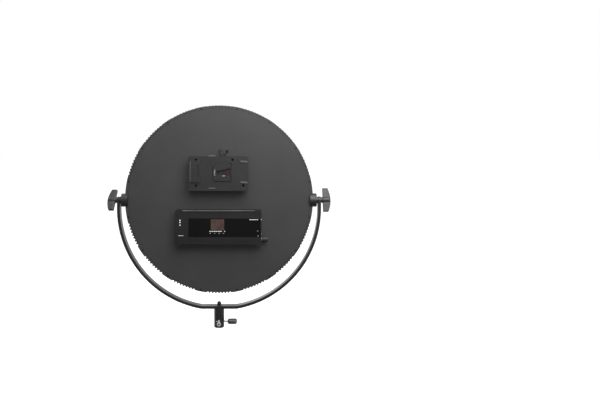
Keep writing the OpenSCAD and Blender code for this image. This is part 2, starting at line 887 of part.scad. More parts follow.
// Slots across the case's upper and lower front edges
module case_vent_slots()
    for (i = [0:case_vents - 1], edge = [0, 1]) {
        mid = (i - (case_vents - 1) / 2) * case_vent_pitch;
        x = [mid - case_vent_w / 2, mid + case_vent_w / 2];
        front = edge == 0 ? [case_top - case_vent_front, case_top + cut]
                          : [case_bottom - cut, case_bottom + case_vent_front];
        wall = edge == 0 ? [case_top - case_wall - cut, case_top + cut]
                         : [case_bottom - cut, case_bottom + case_wall + cut];
        slab(x, [case_face - cut, case_face + case_wall + cut], front);
        slab(x, [case_face, case_back - case_vent_back], wall);
    }

module case_screws()
    color("silver") at_head()
        for (side = [-1, 1])
            at_case_screws(side) {
                cylinder(r = case_screw_head_r, h = case_screw_head_t, $fn = 24);
                translate([0, 0, case_screw_end - case_screw_len])
                    cylinder(r = case_screw_r, h = case_screw_len - case_screw_end, $fn = 24);
            }

module control_window()
    color("black") at_head()
        difference() {
            slab(window_x, [case_face, case_face + window_t], window_z);
            slab([lcd_x - seat_fit, lcd_x + lcd_w + seat_fit], [case_face - cut, case_face + window_t + cut],
                 [window_z[1] - lcd_drop - lcd_h - seat_fit, window_z[1] - lcd_drop + seat_fit]);
        }

module lcd_screen()
    color("rosybrown") at_head()
        slab([lcd_x, lcd_x + lcd_w], [case_face + lcd_set, case_face + lcd_set + lcd_t],
             [window_z[1] - lcd_drop - lcd_h, window_z[1] - lcd_drop]);

module display_board()
    color("green") at_head()
        slab([lcd_x - board_edge, lcd_x + lcd_w + board_edge],
             [case_face + lcd_set + lcd_t, case_face + lcd_set + lcd_t + board_t],
             [window_z[1] - lcd_drop - lcd_h - board_edge, window_z[1] - lcd_drop + board_edge / 2]);

module status_lights()
    color("white") at_head()
        for (drop = status_drop)
            translate([status_x - case_w / 2, case_face - status_proud, case_top - drop])
                along_y() cylinder(r = status_r, h = case_wall + status_proud, $fn = 24);

module driver_board()
    color("green") at_head()
        slab([-case_w / 2 + case_wall + board_edge, case_w / 2 - case_wall - board_edge - encoder_t],
             [case_back - base_t - driver_gap - board_t, case_back - base_t - driver_gap],
             [case_bottom + case_wall + board_edge, case_top - case_wall - board_edge]);

module driver_coils()
    color("saddlebrown") at_head()
        for (i = [0:coils - 1])
            translate([case_w / 2 - coil_inset - i * coil_pitch,
                       case_back - base_t - driver_gap - board_t - coil_h,
                       case_top - coil_drop - (i % 2) * coil_pitch])
                along_y() cylinder(r = coil_r, h = coil_h, $fn = 48);

module heat_sink()
    color("silver") at_head()
        translate([sink_inset - case_w / 2, case_back - base_t - driver_gap - board_t,
                   case_mid - sink_h / 2]) {
            slab([0, sink_w], [-sink_base_t, 0], [0, sink_h]);
            for (i = [0:sink_fins - 1])
                translate([i * (sink_w - sink_fin_t) / (sink_fins - 1), -sink_t, 0])
                    cube([sink_fin_t, sink_t - sink_base_t / 2, sink_h]);
        }

// The encoder's body hangs on the inside of the case's end wall; its shaft reaches into the dial
module dial_encoder()
    color("darkslategray") at_head()
        translate([case_w / 2 - case_wall, dial_y, dial_z]) {
            slab([-encoder_t, 0], [-encoder_w / 2, encoder_w / 2], [-encoder_w / 2, encoder_w / 2]);
            along_x()
                cylinder(r = encoder_shaft_r, h = case_wall + dial_gap + dial_bore_deep - shaft_end_gap,
                         $fn = 48);
        }

module dial_nut()
    color("silver") at_head()
        translate([case_w / 2, dial_y, dial_z])
            along_x()
                difference() {
                    cylinder(r = dial_nut_r, h = dial_nut_t, $fn = 6);
                    translate([0, 0, -cut])
                        cylinder(r = encoder_shaft_r + seat_fit, h = dial_nut_t + 2 * cut, $fn = 48);
                }

module control_dial()
    color("black") at_head()
        translate([case_w / 2 + dial_gap, dial_y, dial_z])
            along_x()
                difference() {
                    cylinder(d = dial_d, h = dial_len);
                    translate([0, 0, -cut])
                        cylinder(r = encoder_shaft_r + run_fit, h = dial_bore_deep + cut, $fn = 48);
                    for (i = [0:dial_ribs - 1])
                        rotate(i * 360 / dial_ribs)
                            translate([dial_d / 2, 0, -cut])
                                cylinder(r = dial_rib_r, h = dial_len - dial_end_t + cut, $fn = 16);
                }

// ---- Yoke and stand receiver ----

// Half outline of the bent bar: straight arms over a bend, cut flat at the bottom
module yoke_outline(half, bottom)
    intersection() {
        union() {
            translate([0, -bend_drop]) circle(half, $fn = 360);
            translate([-half, -bend_drop]) square([2 * half, bend_drop + bar_w / 2 - pivot_drop]);
        }
        translate([-half, -bottom]) square([2 * half, bottom + bar_w / 2 - pivot_drop]);
    }

module yoke_bar()
    color("black") at_head()
        difference() {
            translate([0, bar_w / 2, 0])
                rotate([90, 0, 0])
                    linear_extrude(bar_w)
                        difference() {
                            yoke_outline(arm_out, bottom_out);
                            union() {
                                yoke_outline(arm_in, bottom_in);
                                square([2 * arm_in, 2 * bar_w], center = true);
                            }
                        }
            for (side = [-1, 1])
                arm_round(side);
            translate([-arm_out - cut, 0, -pivot_drop])
                along_x() cylinder(r = stud_r + run_fit, h = 2 * (arm_out + cut));
            translate([0, 0, -bottom_out - cut]) cylinder(r = bolt_r + seat_fit, h = bar_t + 2 * cut);
        }

// The corners that are taken off an arm's top, so that it ends in a half round about the stud
module arm_round(side)
    translate([side > 0 ? arm_in - cut : -arm_out - cut, 0, -pivot_drop])
        difference() {
            slab([0, bar_t + 2 * cut], [-bar_w / 2 - cut, bar_w / 2 + cut], [0, bar_w / 2 + cut]);
            translate([-cut, 0, 0]) along_x() cylinder(d = bar_w, h = bar_t + 4 * cut);
        }

module stand_receiver()
    color("black")
        difference() {
            cylinder(d = receiver_d, h = receiver_len);
            translate([0, 0, -cut]) cylinder(r = socket_r, h = socket_depth + cut);
            translate([0, 0, receiver_len - bolt_grip]) cylinder(r = bolt_r + seat_fit, h = bolt_grip + cut);
            slab([-receiver_d / 2, receiver_d / 2], [-receiver_d, key_flat - receiver_d / 2],
                 [-cut, key_top + 2 * key_stem_r]);
            translate([0, 0, lock_z])
                along_x() cylinder(r = lock_screw_r + run_fit, h = receiver_d, $fn = 48);
            translate([0, key_flat - receiver_d / 2 - cut, key_z])
                along_y() cylinder(r = key_screw_r + run_fit, h = key_screw_len + cut, $fn = 32);
            translate([pin_x, key_flat - receiver_d / 2 - cut, pin_z])
                along_y() cylinder(r = pin_r + run_fit, h = pin_len + cut, $fn = 32);
        }

module receiver_bolt()
    color("black")
        translate([0, 0, receiver_len - bolt_grip]) {
            cylinder(r = bolt_r, h = bolt_grip + bar_t + cut);
            translate([0, 0, bolt_grip + bar_t])
                rotate_extrude()
                    intersection() {
                        square([nut_r, nut_h]);
                        translate([0, nut_h - nut_r]) union() {
                            circle(nut_r);
                            translate([0, nut_r - nut_h]) square([nut_r, nut_h - nut_r]);
                        }
                    }
        }

// A flat key plate, a ring below a tapered stem, on the receiver's rear flat
module spigot_key()
    color("silver")
        translate([0, key_flat - receiver_d / 2 - key_t, key_z])
            rotate([90, 0, 0]) mirror([0, 0, 1])
                linear_extrude(key_t)
                    difference() {
                        union() {
                            circle(key_r);
                            polygon([[-key_shoulder, key_shoulder], [key_shoulder, key_shoulder],
                                     [key_stem_r, key_top - key_z - key_stem_r],
                                     [-key_stem_r, key_top - key_z - key_stem_r]]);
                            translate([0, key_top - key_z - key_stem_r]) circle(key_stem_r, $fn = 32);
                        }
                        circle(key_screw_r + seat_fit, $fn = 32);
                    }

module spigot_key_screw()
    color("black")
        translate([0, key_flat - receiver_d / 2 - key_t, key_z])
            along_y() {
                translate([0, 0, -key_screw_head_t])
                    cylinder(r = key_screw_head_r, h = key_screw_head_t, $fn = 32);
                cylinder(r = key_screw_r, h = key_t + key_screw_len - key_screw_gap, $fn = 32);
            }

module roll_pin()
    color("silver")
        translate([pin_x, key_flat - receiver_d / 2 - pin_proud, pin_z])
            along_y() cylinder(r = pin_r, h = pin_len, $fn = 32);

module lock_knob()
    color("dimgray")
        translate([receiver_d / 2 + lock_gap, 0, lock_z])
            rotate([lock_knob_turn, 0, 0])
                wing_knob(lock_hub_r, lock_reach, lock_wing_start, lock_tip_reach, lock_span, lock_wing_t,
                          lock_screw_r + run_fit, lock_reach / 2);

module lock_screw()
    color("silver")
        translate([lock_screw_tip, 0, lock_z])
            along_x()
                cylinder(r = lock_screw_r, h = receiver_d / 2 + lock_gap + lock_reach / 2 - lock_screw_tip,
                         $fn = 48);

rim_frame();
back_plate();
front_bezel();
diffuser();
light_guide();
reflector();
heat_ring();
led_board();
warm_emitters();
cool_emitters();
rim_screws();
pivot_block_left();
pivot_block_right();
pivot_insert_left();
pivot_insert_right();
battery_spacer();
battery_plate();
plate_screws();
terminal_block();
battery_contacts();
v_socket();
v_socket_floor();
detent_roller();
plate_hooks();
release_slide();
release_spring();
battery_latch();
lead_black();
lead_red();
lead_grommets();
controller_base();
controller_case();
case_screws();
control_window();
lcd_screen();
status_lights();
display_board();
driver_board();
driver_coils();
heat_sink();
dial_encoder();
dial_nut();
control_dial();
yoke_bar();
pivot_washer_left();
pivot_washer_right();
tilt_knob_left();
tilt_knob_right();
tilt_stud_left();
tilt_stud_right();
stand_receiver();
receiver_bolt();
spigot_key();
spigot_key_screw();
roll_pin();
lock_knob();
lock_screw();
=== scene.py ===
"""Dresses a round LED panel light: its finishes, its fine pieces, the stage, the light and the camera."""

import logging
import math
from collections.abc import Callable
from dataclasses import dataclass, field
from enum import Enum

import bpy
from mathutils import Matrix, Vector


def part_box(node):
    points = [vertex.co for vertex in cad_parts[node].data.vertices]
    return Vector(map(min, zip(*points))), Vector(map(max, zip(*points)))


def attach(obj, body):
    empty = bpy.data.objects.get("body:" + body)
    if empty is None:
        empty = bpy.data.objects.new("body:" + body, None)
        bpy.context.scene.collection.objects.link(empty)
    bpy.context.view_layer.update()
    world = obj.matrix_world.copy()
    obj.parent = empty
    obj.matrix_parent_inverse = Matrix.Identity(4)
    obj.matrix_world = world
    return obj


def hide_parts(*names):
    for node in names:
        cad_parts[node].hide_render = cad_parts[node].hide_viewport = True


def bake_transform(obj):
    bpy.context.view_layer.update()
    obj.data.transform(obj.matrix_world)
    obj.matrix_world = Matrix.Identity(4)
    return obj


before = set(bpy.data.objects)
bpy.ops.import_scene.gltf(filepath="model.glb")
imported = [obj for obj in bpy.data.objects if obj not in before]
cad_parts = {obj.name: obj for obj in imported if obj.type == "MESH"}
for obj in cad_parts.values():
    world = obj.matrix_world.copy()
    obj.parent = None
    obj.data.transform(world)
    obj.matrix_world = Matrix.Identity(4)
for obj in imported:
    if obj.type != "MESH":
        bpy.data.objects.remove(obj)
LOG = logging.getLogger("panel_light")
MM = 0.001
# How far a face's normal has to lean along an axis to count as facing that way
FACING = 0.9
# A wave texture of scale 1 repeats at about this length in metres
WAVE_PERIOD = 0.314
# Most of a noise texture's values lie between these two
NOISE_RANGE = (0.3, 0.7)
Colour = tuple[float, float, float]
Triple = tuple[float, float, float]


class Pattern(Enum):
    """What the fine pattern of a finish is made of."""

    GRAIN = "an even, cloudy grain"
    PEEL = "the small round bumps of sprayed paint"
    BANDS = "parallel ridges, as of wound wire or turned metal"
    TRACKS = "rows of small rectangles, as of pads and cells"


class Axis(Enum):
    """A direction along one of the frame's axes."""

    X = Vector((1, 0, 0))
    Y = Vector((0, 1, 0))
    Z = Vector((0, 0, 1))


# ---- Finishes ----


@dataclass(frozen=True)
class Finish:
    """One surface finish: two colours it drifts between, its gloss and its relief. Sizes are in metres."""

    name: str
    colour: Colour
    drift: Colour
    rough: tuple[float, float]
    pattern: Pattern = Pattern.GRAIN
    grain: float = 0.6 * MM
    stretch: Triple = (1, 1, 1)
    relief: float = 0.02 * MM
    patch: float = 50 * MM
    fleck: float = 0.15
    metallic: float = 0.0
    coat: float = 0.0
    specular: float = 0.5
    see_through: float = 0.0
    glow: float = 0.0

    def material(self) -> bpy.types.Material:
        """Builds the node material of this finish, or gives back the one already built.

        Returns:
            The material.
        """
        # The frame's own materials have its slots' names, so a finish is kept under a longer one
        name = f"{self.name}_finish"
        made = bpy.data.materials.get(name)
        if made:
            return made
        made = bpy.data.materials.new(name)
        made.use_nodes = True
        graph = Graph(made)
        shader = graph.shader
        shader.inputs["Metallic"].default_value = self.metallic
        shader.inputs["Coat Weight"].default_value = self.coat
        shader.inputs["Coat Roughness"].default_value = 0.08
        shader.inputs["Specular IOR Level"].default_value = self.specular
        shader.inputs["Transmission Weight"].default_value = self.see_through
        place = graph.add("ShaderNodeTexCoord").outputs["Object"]
        slow = graph.noise(place, 1 / self.patch, 3)
        fine = self.fine_pattern(graph, graph.scaled(place, self.stretch))
        base = graph.blend(slow, self.colour, self.drift)
        flecked = graph.add("ShaderNodeMix", data_type="RGBA", blend_type="OVERLAY")
        flecked.inputs["Factor"].default_value = self.fleck
        graph.link(base, flecked.inputs["A"])
        graph.link(fine, flecked.inputs["B"])
        graph.link(flecked.outputs["Result"], shader.inputs["Base Color"])
        gloss = graph.noise(graph.scaled(place, self.stretch), 0.35 / self.grain, 4)
        graph.link(graph.spread(gloss, *self.rough), shader.inputs["Roughness"])
        bump = graph.add("ShaderNodeBump")
        bump.inputs["Distance"].default_value = self.relief
        graph.link(fine, bump.inputs["Height"])
        graph.link(bump.outputs["Normal"], shader.inputs["Normal"])
        if self.glow:
            shader.inputs["Emission Color"].default_value = (*self.colour, 1)
            shader.inputs["Emission Strength"].default_value = self.glow
        return made

    def fine_pattern(self, graph: "Graph", place: bpy.types.NodeSocket) -> bpy.types.NodeSocket:
        """Adds the texture that the relief and the flecks follow.

        Args:
            graph: The material's nodes.
            place: The coordinates it reads.

        Returns:
            A grey value from 0 to 1.
        """
        if self.pattern is Pattern.PEEL:
            cells = graph.add("ShaderNodeTexVoronoi", feature="SMOOTH_F1")
            cells.inputs["Scale"].default_value = 1 / self.grain
            graph.link(place, cells.inputs["Vector"])
            return cells.outputs["Distance"]
        if self.pattern is Pattern.BANDS:
            bands = graph.add("ShaderNodeTexWave", bands_direction="Y")
            bands.inputs["Scale"].default_value = WAVE_PERIOD / self.grain
            bands.inputs["Distortion"].default_value = 0.4
            graph.link(place, bands.inputs["Vector"])
            return bands.outputs["Fac"]
        if self.pattern is Pattern.TRACKS:
            flat = graph.add("ShaderNodeMapping")
            flat.inputs["Rotation"].default_value = (math.pi / 2, 0, 0)
            graph.link(place, flat.inputs["Vector"])
            pads = graph.add("ShaderNodeTexBrick")
            pads.inputs["Scale"].default_value = 1 / self.grain
            pads.inputs["Mortar Size"].default_value = 0.06
            graph.link(flat.outputs["Vector"], pads.inputs["Vector"])
            return pads.outputs["Fac"]
        return graph.noise(place, 1 / self.grain, 2)


class Graph:
    """Adds nodes to one material and links them."""

    def __init__(self, material: bpy.types.Material) -> None:
        """Takes the nodes of one material.

        Args:
            material: The node material to fill.
        """
        self.tree = material.node_tree
        self.shader = self.tree.nodes["Principled BSDF"]

    def add(self, kind: str, **settings: object) -> bpy.types.Node:
        """Adds one node.

        Args:
            kind: The node's type.
            settings: Properties to set on it.

        Returns:
            The node.
        """
        node = self.tree.nodes.new(kind)
        for key, value in settings.items():
            setattr(node, key, value)
        return node

    def link(self, source: bpy.types.NodeSocket, target: bpy.types.NodeSocket) -> None:
        """Joins an output to an input."""
        self.tree.links.new(source, target)

    def scaled(self, place: bpy.types.NodeSocket, stretch: Triple) -> bpy.types.NodeSocket:
        """Stretches coordinates.

        Args:
            place: The coordinates.
            stretch: What each axis is multiplied by.

        Returns:
            The stretched coordinates.
        """
        mapping = self.add("ShaderNodeMapping")
        mapping.inputs["Scale"].default_value = stretch
        self.link(place, mapping.inputs["Vector"])
        return mapping.outputs["Vector"]

    def noise(self, place: bpy.types.NodeSocket, scale: float, detail: float) -> bpy.types.NodeSocket:
        """Adds a cloudy grey.

        Args:
            place: The coordinates it reads.
            scale: Its scale, in cycles a metre.
            detail: How many finer layers it has.

        Returns:
            A grey value from 0 to 1.
        """
        noise = self.add("ShaderNodeTexNoise")
        noise.inputs["Scale"].default_value = scale
        noise.inputs["Detail"].default_value = detail
        self.link(place, noise.inputs["Vector"])
        return noise.outputs["Fac"]

    def blend(self, grey: bpy.types.NodeSocket, low: Colour, high: Colour) -> bpy.types.NodeSocket:
        """Turns a grey into a colour.

        Args:
            grey: The grey value.
            low: The colour where it is dark.
            high: The colour where it is light.

        Returns:
            The colour.
        """
        ramp = self.add("ShaderNodeValToRGB")
        for stop, position, colour in zip(ramp.color_ramp.elements, NOISE_RANGE, (low, high)):
            stop.position = position
            stop.color = (*colour, 1)
        self.link(grey, ramp.inputs["Fac"])
        return ramp.outputs["Color"]

    def spread(self, grey: bpy.types.NodeSocket, low: float, high: float) -> bpy.types.NodeSocket:
        """Spreads a grey over a range.

        Args:
            grey: The grey value.
            low: The value where it is dark.
            high: The value where it is light.

        Returns:
            The spread value.
        """
        span = self.add("ShaderNodeMapRange")
        for name, value in zip(("From Min", "From Max", "To Min", "To Max"), (*NOISE_RANGE, low, high)):
            span.inputs[name].default_value = value
        self.link(grey, span.inputs["Value"])
        return span.outputs["Result"]


HEAD_PAINT = Finish("head_powder_coat", (0.030, 0.030, 0.031), (0.036, 0.036, 0.037), (0.42, 0.58),
                    Pattern.PEEL, 0.7 * MM, relief=0.05 * MM, patch=90 * MM, fleck=0.25)
BEZEL_PAINT = Finish("bezel_powder_coat", (0.045, 0.045, 0.046), (0.056, 0.056, 0.057), (0.4, 0.55),
                     Pattern.PEEL, 0.7 * MM, relief=0.05 * MM, fleck=0.25)
YOKE_PAINT = Finish("yoke_satin_black", (0.012, 0.012, 0.0125), (0.018, 0.018, 0.0185), (0.28, 0.42),
                    Pattern.PEEL, 0.5 * MM, relief=0.03 * MM, fleck=0.2)
CASE_PAINT = Finish("case_powder_coat", (0.006, 0.006, 0.0065), (0.0095, 0.0095, 0.01), (0.45, 0.6),
                    Pattern.PEEL, 0.6 * MM, relief=0.05 * MM, fleck=0.25, specular=0.35)
BLOCK_PAINT = Finish("pivot_block_paint", (0.013, 0.013, 0.0135), (0.02, 0.02, 0.0205), (0.35, 0.5),
                     Pattern.PEEL, 0.5 * MM, relief=0.03 * MM)
DIFFUSER = Finish("diffuser_opal", (0.835, 0.835, 0.82), (0.85, 0.85, 0.84), (0.32, 0.42),
                  Pattern.PEEL, 0.45 * MM, relief=0.03 * MM, fleck=0.05)
CLEAR = Finish("clear_acrylic", (0.92, 0.95, 0.96), (0.9, 0.94, 0.95), (0.04, 0.1),
               Pattern.PEEL, 1.2 * MM, fleck=0.02, see_through=1.0)
FILM = Finish("reflector_film", (0.86, 0.86, 0.86), (0.8, 0.8, 0.8), (0.2, 0.3), fleck=0.05)
BARE_METAL = Finish("bare_aluminium", (0.55, 0.56, 0.57), (0.66, 0.67, 0.68), (0.25, 0.42),
                    grain=0.4 * MM, stretch=(1, 1, 0.05), fleck=0.2, metallic=1.0)
WHITE_BOARD = Finish("white_board", (0.74, 0.74, 0.72), (0.82, 0.82, 0.8), (0.35, 0.5),
                     Pattern.TRACKS, 4 * MM, fleck=0.2)
WARM_LED = Finish("warm_phosphor", (0.75, 0.36, 0.05), (0.83, 0.44, 0.08), (0.25, 0.4),
                  grain=0.3 * MM, coat=0.4)
COOL_LED = Finish("cool_phosphor", (0.78, 0.70, 0.20), (0.84, 0.77, 0.3), (0.25, 0.4),
                  grain=0.3 * MM, coat=0.4)
BLACK_STEEL = Finish("blackened_steel", (0.016, 0.016, 0.017), (0.035, 0.034, 0.033), (0.25, 0.45),
                     grain=0.4 * MM, fleck=0.3, metallic=0.6)
BRASS = Finish("turned_brass", (0.62, 0.42, 0.14), (0.70, 0.50, 0.19), (0.18, 0.34),
               Pattern.BANDS, 0.3 * MM, fleck=0.1, metallic=1.0)
PLATE_PLASTIC = Finish("battery_plate_plastic", (0.012, 0.012, 0.0125), (0.018, 0.018, 0.0185), (0.34, 0.5),
                       Pattern.PEEL, 0.8 * MM, relief=0.05 * MM, fleck=0.3)
# Lighter grey than the plate: on the hooks and the release slide it is partly their own grey and partly a
# painted highlight of their lit faces; on the two strips it is only a painted highlight
CATCH_GREY_AND_HIGHLIGHT = Finish("catch_grey_and_painted_highlight", (0.085, 0.085, 0.09), (0.11, 0.11, 0.115), (0.3, 0.45),
                       Pattern.PEEL, 0.8 * MM, relief=0.05 * MM, fleck=0.25)
MAROON = Finish("recess_dark_red", (0.016, 0.006, 0.0065), (0.024, 0.009, 0.0095), (0.3, 0.45),
                grain=0.8 * MM)
BRIGHT_STEEL = Finish("bright_steel", (0.66, 0.66, 0.65), (0.78, 0.78, 0.76), (0.16, 0.32),
                      grain=0.3 * MM, stretch=(0.05, 1, 1), fleck=0.15, metallic=1.0)
ROLLER_STEEL = Finish("roller_steel", (0.32, 0.32, 0.32), (0.42, 0.42, 0.41), (0.35, 0.5), grain=0.3 * MM,
                      metallic=0.8)
SATIN_NICKEL = Finish("satin_nickel", (0.58, 0.57, 0.55), (0.66, 0.65, 0.63), (0.42, 0.58), grain=0.25 * MM,
                      fleck=0.2, metallic=0.35)
ZINC_SCREW = Finish("yellow_zinc", (0.46, 0.42, 0.32), (0.54, 0.50, 0.40), (0.3, 0.45), Pattern.BANDS,
                    0.4 * MM, relief=0.1 * MM, fleck=0.3, metallic=0.7)
DULL_BRASS = Finish("dull_contact_brass", (0.09, 0.065, 0.03), (0.13, 0.095, 0.045), (0.35, 0.5),
                    grain=0.3 * MM, metallic=0.5)
BLACK_PVC = Finish("lead_black_pvc", (0.012, 0.012, 0.012), (0.018, 0.018, 0.018), (0.35, 0.5),
                   grain=1.2 * MM)
RED_PVC = Finish("lead_red_pvc", (0.022, 0.008, 0.007), (0.032, 0.010, 0.009), (0.35, 0.5), grain=1.2 * MM)
RUBBER = Finish("grommet_rubber", (0.014, 0.014, 0.014), (0.022, 0.022, 0.022), (0.6, 0.78),
                relief=0.04 * MM)
WINDOW = Finish("window_gloss_black", (0.003, 0.003, 0.0035), (0.0045, 0.0045, 0.005), (0.05, 0.12),
                grain=2 * MM, relief=0.004 * MM, coat=0.15, specular=0.3)
LCD = Finish("lcd_glass", (0.045, 0.027, 0.023), (0.085, 0.052, 0.044), (0.14, 0.24),
             Pattern.TRACKS, 1.6 * MM, relief=0.006 * MM, patch=14 * MM, fleck=0.12, coat=0.5)
WHITE_PRINT = Finish("white_print", (0.62, 0.62, 0.6), (0.72, 0.72, 0.7), (0.4, 0.55), grain=0.3 * MM)
STATUS = Finish("status_diffuser", (0.74, 0.75, 0.74), (0.84, 0.85, 0.84), (0.3, 0.4),
                grain=0.3 * MM, coat=0.3)
GREEN_BOARD = Finish("green_board", (0.012, 0.075, 0.028), (0.018, 0.10, 0.038), (0.25, 0.4),
                     Pattern.TRACKS, 3 * MM, relief=0.02 * MM, fleck=0.35, coat=0.3)
FERRITE = Finish("ferrite_and_copper", (0.26, 0.11, 0.05), (0.36, 0.16, 0.07), (0.3, 0.45),
                 Pattern.BANDS, 0.5 * MM, relief=0.08 * MM, fleck=0.5, metallic=0.4)
ENCODER = Finish("encoder_plastic", (0.03, 0.035, 0.037), (0.042, 0.048, 0.05), (0.35, 0.5))
# Painted highlight: a bright metallic grey for the caps on the case's vent ribs, where the ribs catch the
# light from above
RIB_HIGHLIGHT = Finish("painted_rib_highlight", (0.60, 0.60, 0.59), (0.78, 0.78, 0.76), (0.35, 0.5), grain=0.4 * MM,
                   fleck=0.3, metallic=0.3)
DIAL_RUBBER = Finish("dial_soft_black", (0.011, 0.011, 0.011), (0.017, 0.017, 0.017), (0.42, 0.6),
                     Pattern.PEEL, 0.5 * MM, relief=0.03 * MM)
KNOB_PLASTIC = Finish("knob_glass_filled_nylon", (0.016, 0.016, 0.0165), (0.026, 0.026, 0.0265), (0.33, 0.5),
                      Pattern.PEEL, 0.6 * MM, relief=0.05 * MM, patch=15 * MM, fleck=0.35)
NYLON = Finish("washer_nylon", (0.012, 0.012, 0.0125), (0.02, 0.02, 0.0205), (0.3, 0.45))
FLOOR = Finish("pale_floor", (0.86, 0.86, 0.85), (0.9, 0.9, 0.89), (0.7, 0.85), grain=4 * MM,
               relief=0.01 * MM, patch=0.9, fleck=0.03, glow=0.45)


# ---- Modelling by hand ----


class Bench:
    """Starts pieces from primitives and shapes them with operators on faces picked in code."""

    @staticmethod
    def clear() -> None:
        """Leaves edit mode and deselects everything."""
        if bpy.context.object and bpy.context.object.mode != "OBJECT":
            bpy.ops.object.mode_set(mode="OBJECT")
        bpy.ops.object.select_all(action="DESELECT")

    @staticmethod
    def started(name: str) -> bpy.types.Object:
        """Names the primitive just added.

        Args:
            name: The name for its object and its mesh.

        Returns:
            The primitive.
        """
        piece = bpy.context.object
        piece.name = name
        piece.data.name = name
        return piece

    @classmethod
    def drum(cls, name: str, radius: float, length: float, start: Triple, axis: Axis = Axis.Z,
             sides: int = 48) -> bpy.types.Object:
        """Adds a cylinder that runs from start along an axis.

        Args:
            name: The piece's name.
            radius: Its radius.
            length: Its length.
            start: The centre of its first face.
            axis: The way it runs.
            sides: How many sides it has.

        Returns:
            The piece, with its place in its mesh.
        """
        cls.clear()
        middle = Vector(start) + axis.value * length / 2
        turn = Vector((0, 0, 1)).rotation_difference(axis.value).to_euler()
        bpy.ops.mesh.primitive_cylinder_add(vertices=sides, radius=radius, depth=length,
                                            location=middle, rotation=turn)
        return cls.settled(cls.started(name))

    @classmethod
    def block(cls, name: str, low: Triple, high: Triple) -> bpy.types.Object:
        """Adds a box between two corners.

        Args:
            name: The piece's name.
            low: Its lowest corner.
            high: Its highest corner.

        Returns:
            The piece, with its place in its mesh.
        """
        cls.clear()
        low_corner, high_corner = Vector(low), Vector(high)
        bpy.ops.mesh.primitive_cube_add(size=1, location=(low_corner + high_corner) / 2,
                                        scale=high_corner - low_corner)
        return cls.settled(cls.started(name))

    @classmethod
    def settled(cls, piece: bpy.types.Object) -> bpy.types.Object:
        """Puts a piece's place, turn and scale into its mesh.

        Args:
            piece: The piece to settle.

        Returns:
            The piece.
        """
        cls.clear()
        piece.select_set(True)
        bpy.context.view_layer.objects.active = piece
        bpy.ops.object.transform_apply(location=True, rotation=True, scale=True)
        return piece

    @classmethod
    def edit(cls, piece: bpy.types.Object, picks: Callable[[bpy.types.MeshPolygon], bool]) -> None:
        """Opens a piece in edit mode with some of its faces selected.

        Args:
            piece: The piece to shape.
            picks: Says whether a face is selected.
        """
        cls.clear()
        bpy.context.view_layer.objects.active = piece
        piece.select_set(True)
        mesh = piece.data
        for vertex in mesh.vertices:
            vertex.select = False
        for edge in mesh.edges:
            edge.select = False
        for face in mesh.polygons:
            face.select = picks(face)
        bpy.ops.object.mode_set(mode="EDIT")
        bpy.ops.mesh.select_mode(type="FACE")

    @classmethod
    def bevel_faces(cls, piece: bpy.types.Object, picks: Callable[[bpy.types.MeshPolygon], bool],
                    offset: float, segments: int) -> None:
        """Bevels the edges of the faces that picks says yes to.

        Args:
            piece: The piece to shape.
            picks: Says whether a face is meant.
            offset: How wide the bevel is.
            segments: How many steps it has.
        """
        cls.edit(piece, picks)
        bpy.ops.mesh.bevel(offset=offset, segments=segments, affect="EDGES")
        bpy.ops.object.mode_set(mode="OBJECT")

    @staticmethod
    def extrude(step: Triple) -> None:
        """Extrudes the selected faces by a step."""
        bpy.ops.mesh.extrude_region_move(TRANSFORM_OT_translate={"value": step})

    @classmethod
    def modify(cls, piece: bpy.types.Object, kind: str, **settings: object) -> None:
        """Adds one modifier and applies it.

        Args:
            piece: The piece to change.
            kind: The modifier's type.
            settings: Properties to set on it.
        """
        cls.clear()
        bpy.context.view_layer.objects.active = piece
        piece.select_set(True)
        modifier = piece.modifiers.new(kind.title(), kind)
        for key, value in settings.items():
            setattr(modifier, key, value)
        bpy.ops.object.modifier_apply(modifier=modifier.name)

    @classmethod
    def rounded(cls, piece: bpy.types.Object, width: float, segments: int = 3) -> bpy.types.Object:
        """Rounds the piece's sharp edges and shades it smooth between them."""
        cls.modify(piece, "BEVEL", width=width, segments=segments, limit_method="ANGLE",
                   angle_limit=math.radians(30))
        return cls.smooth(piece)

    @classmethod
    def smooth(cls, piece: bpy.types.Object, angle: float = 35) -> bpy.types.Object:
        """Shades a piece smooth except at its sharp edges.

        Args:
            piece: The piece to shade.
            angle: How many degrees its faces may turn at a smooth edge.

        Returns:
            The piece.
        """
        cls.clear()
        bpy.context.view_layer.objects.active = piece
        piece.select_set(True)
        bpy.ops.object.shade_smooth_by_angle(angle=math.radians(angle))
        return piece

    @classmethod
    def joined(cls, name: str, pieces: list[bpy.types.Object]) -> bpy.types.Object:
        """Joins pieces into one.

        Args:
            name: The joined piece's name.
            pieces: The pieces, of which the first stays.

        Returns:
            The joined piece.
        """
        cls.clear()
        for piece in pieces:
            piece.select_set(True)
        bpy.context.view_layer.objects.active = pieces[0]
        if len(pieces) > 1:
            bpy.ops.object.join()
        return cls.started(name)

    @classmethod
    def carved(cls, piece: bpy.types.Object, tool: bpy.types.Object) -> bpy.types.Object:
        """Takes a shape out of a piece.

        Args:
            piece: The piece to cut.
            tool: The shape to take out, which is removed afterwards.

        Returns:
            The piece.
        """
        cls.modify(piece, "BOOLEAN", object=tool, operation="DIFFERENCE", solver="EXACT")
        bpy.data.objects.remove(tool)
        return piece

    @staticmethod
    def copied(piece: bpy.types.Object, name: str, place: Matrix) -> bpy.types.Object:
        """Copies a piece with a mesh of its own.

        Args:
            piece: The piece to copy.
            name: The copy's name.
            place: Where the copy's mesh is moved to.

        Returns:
            The copy.
        """
        twin = bpy.data.objects.new(name, piece.data.copy())
        bpy.context.scene.collection.objects.link(twin)
        twin.data.transform(place)
        return twin

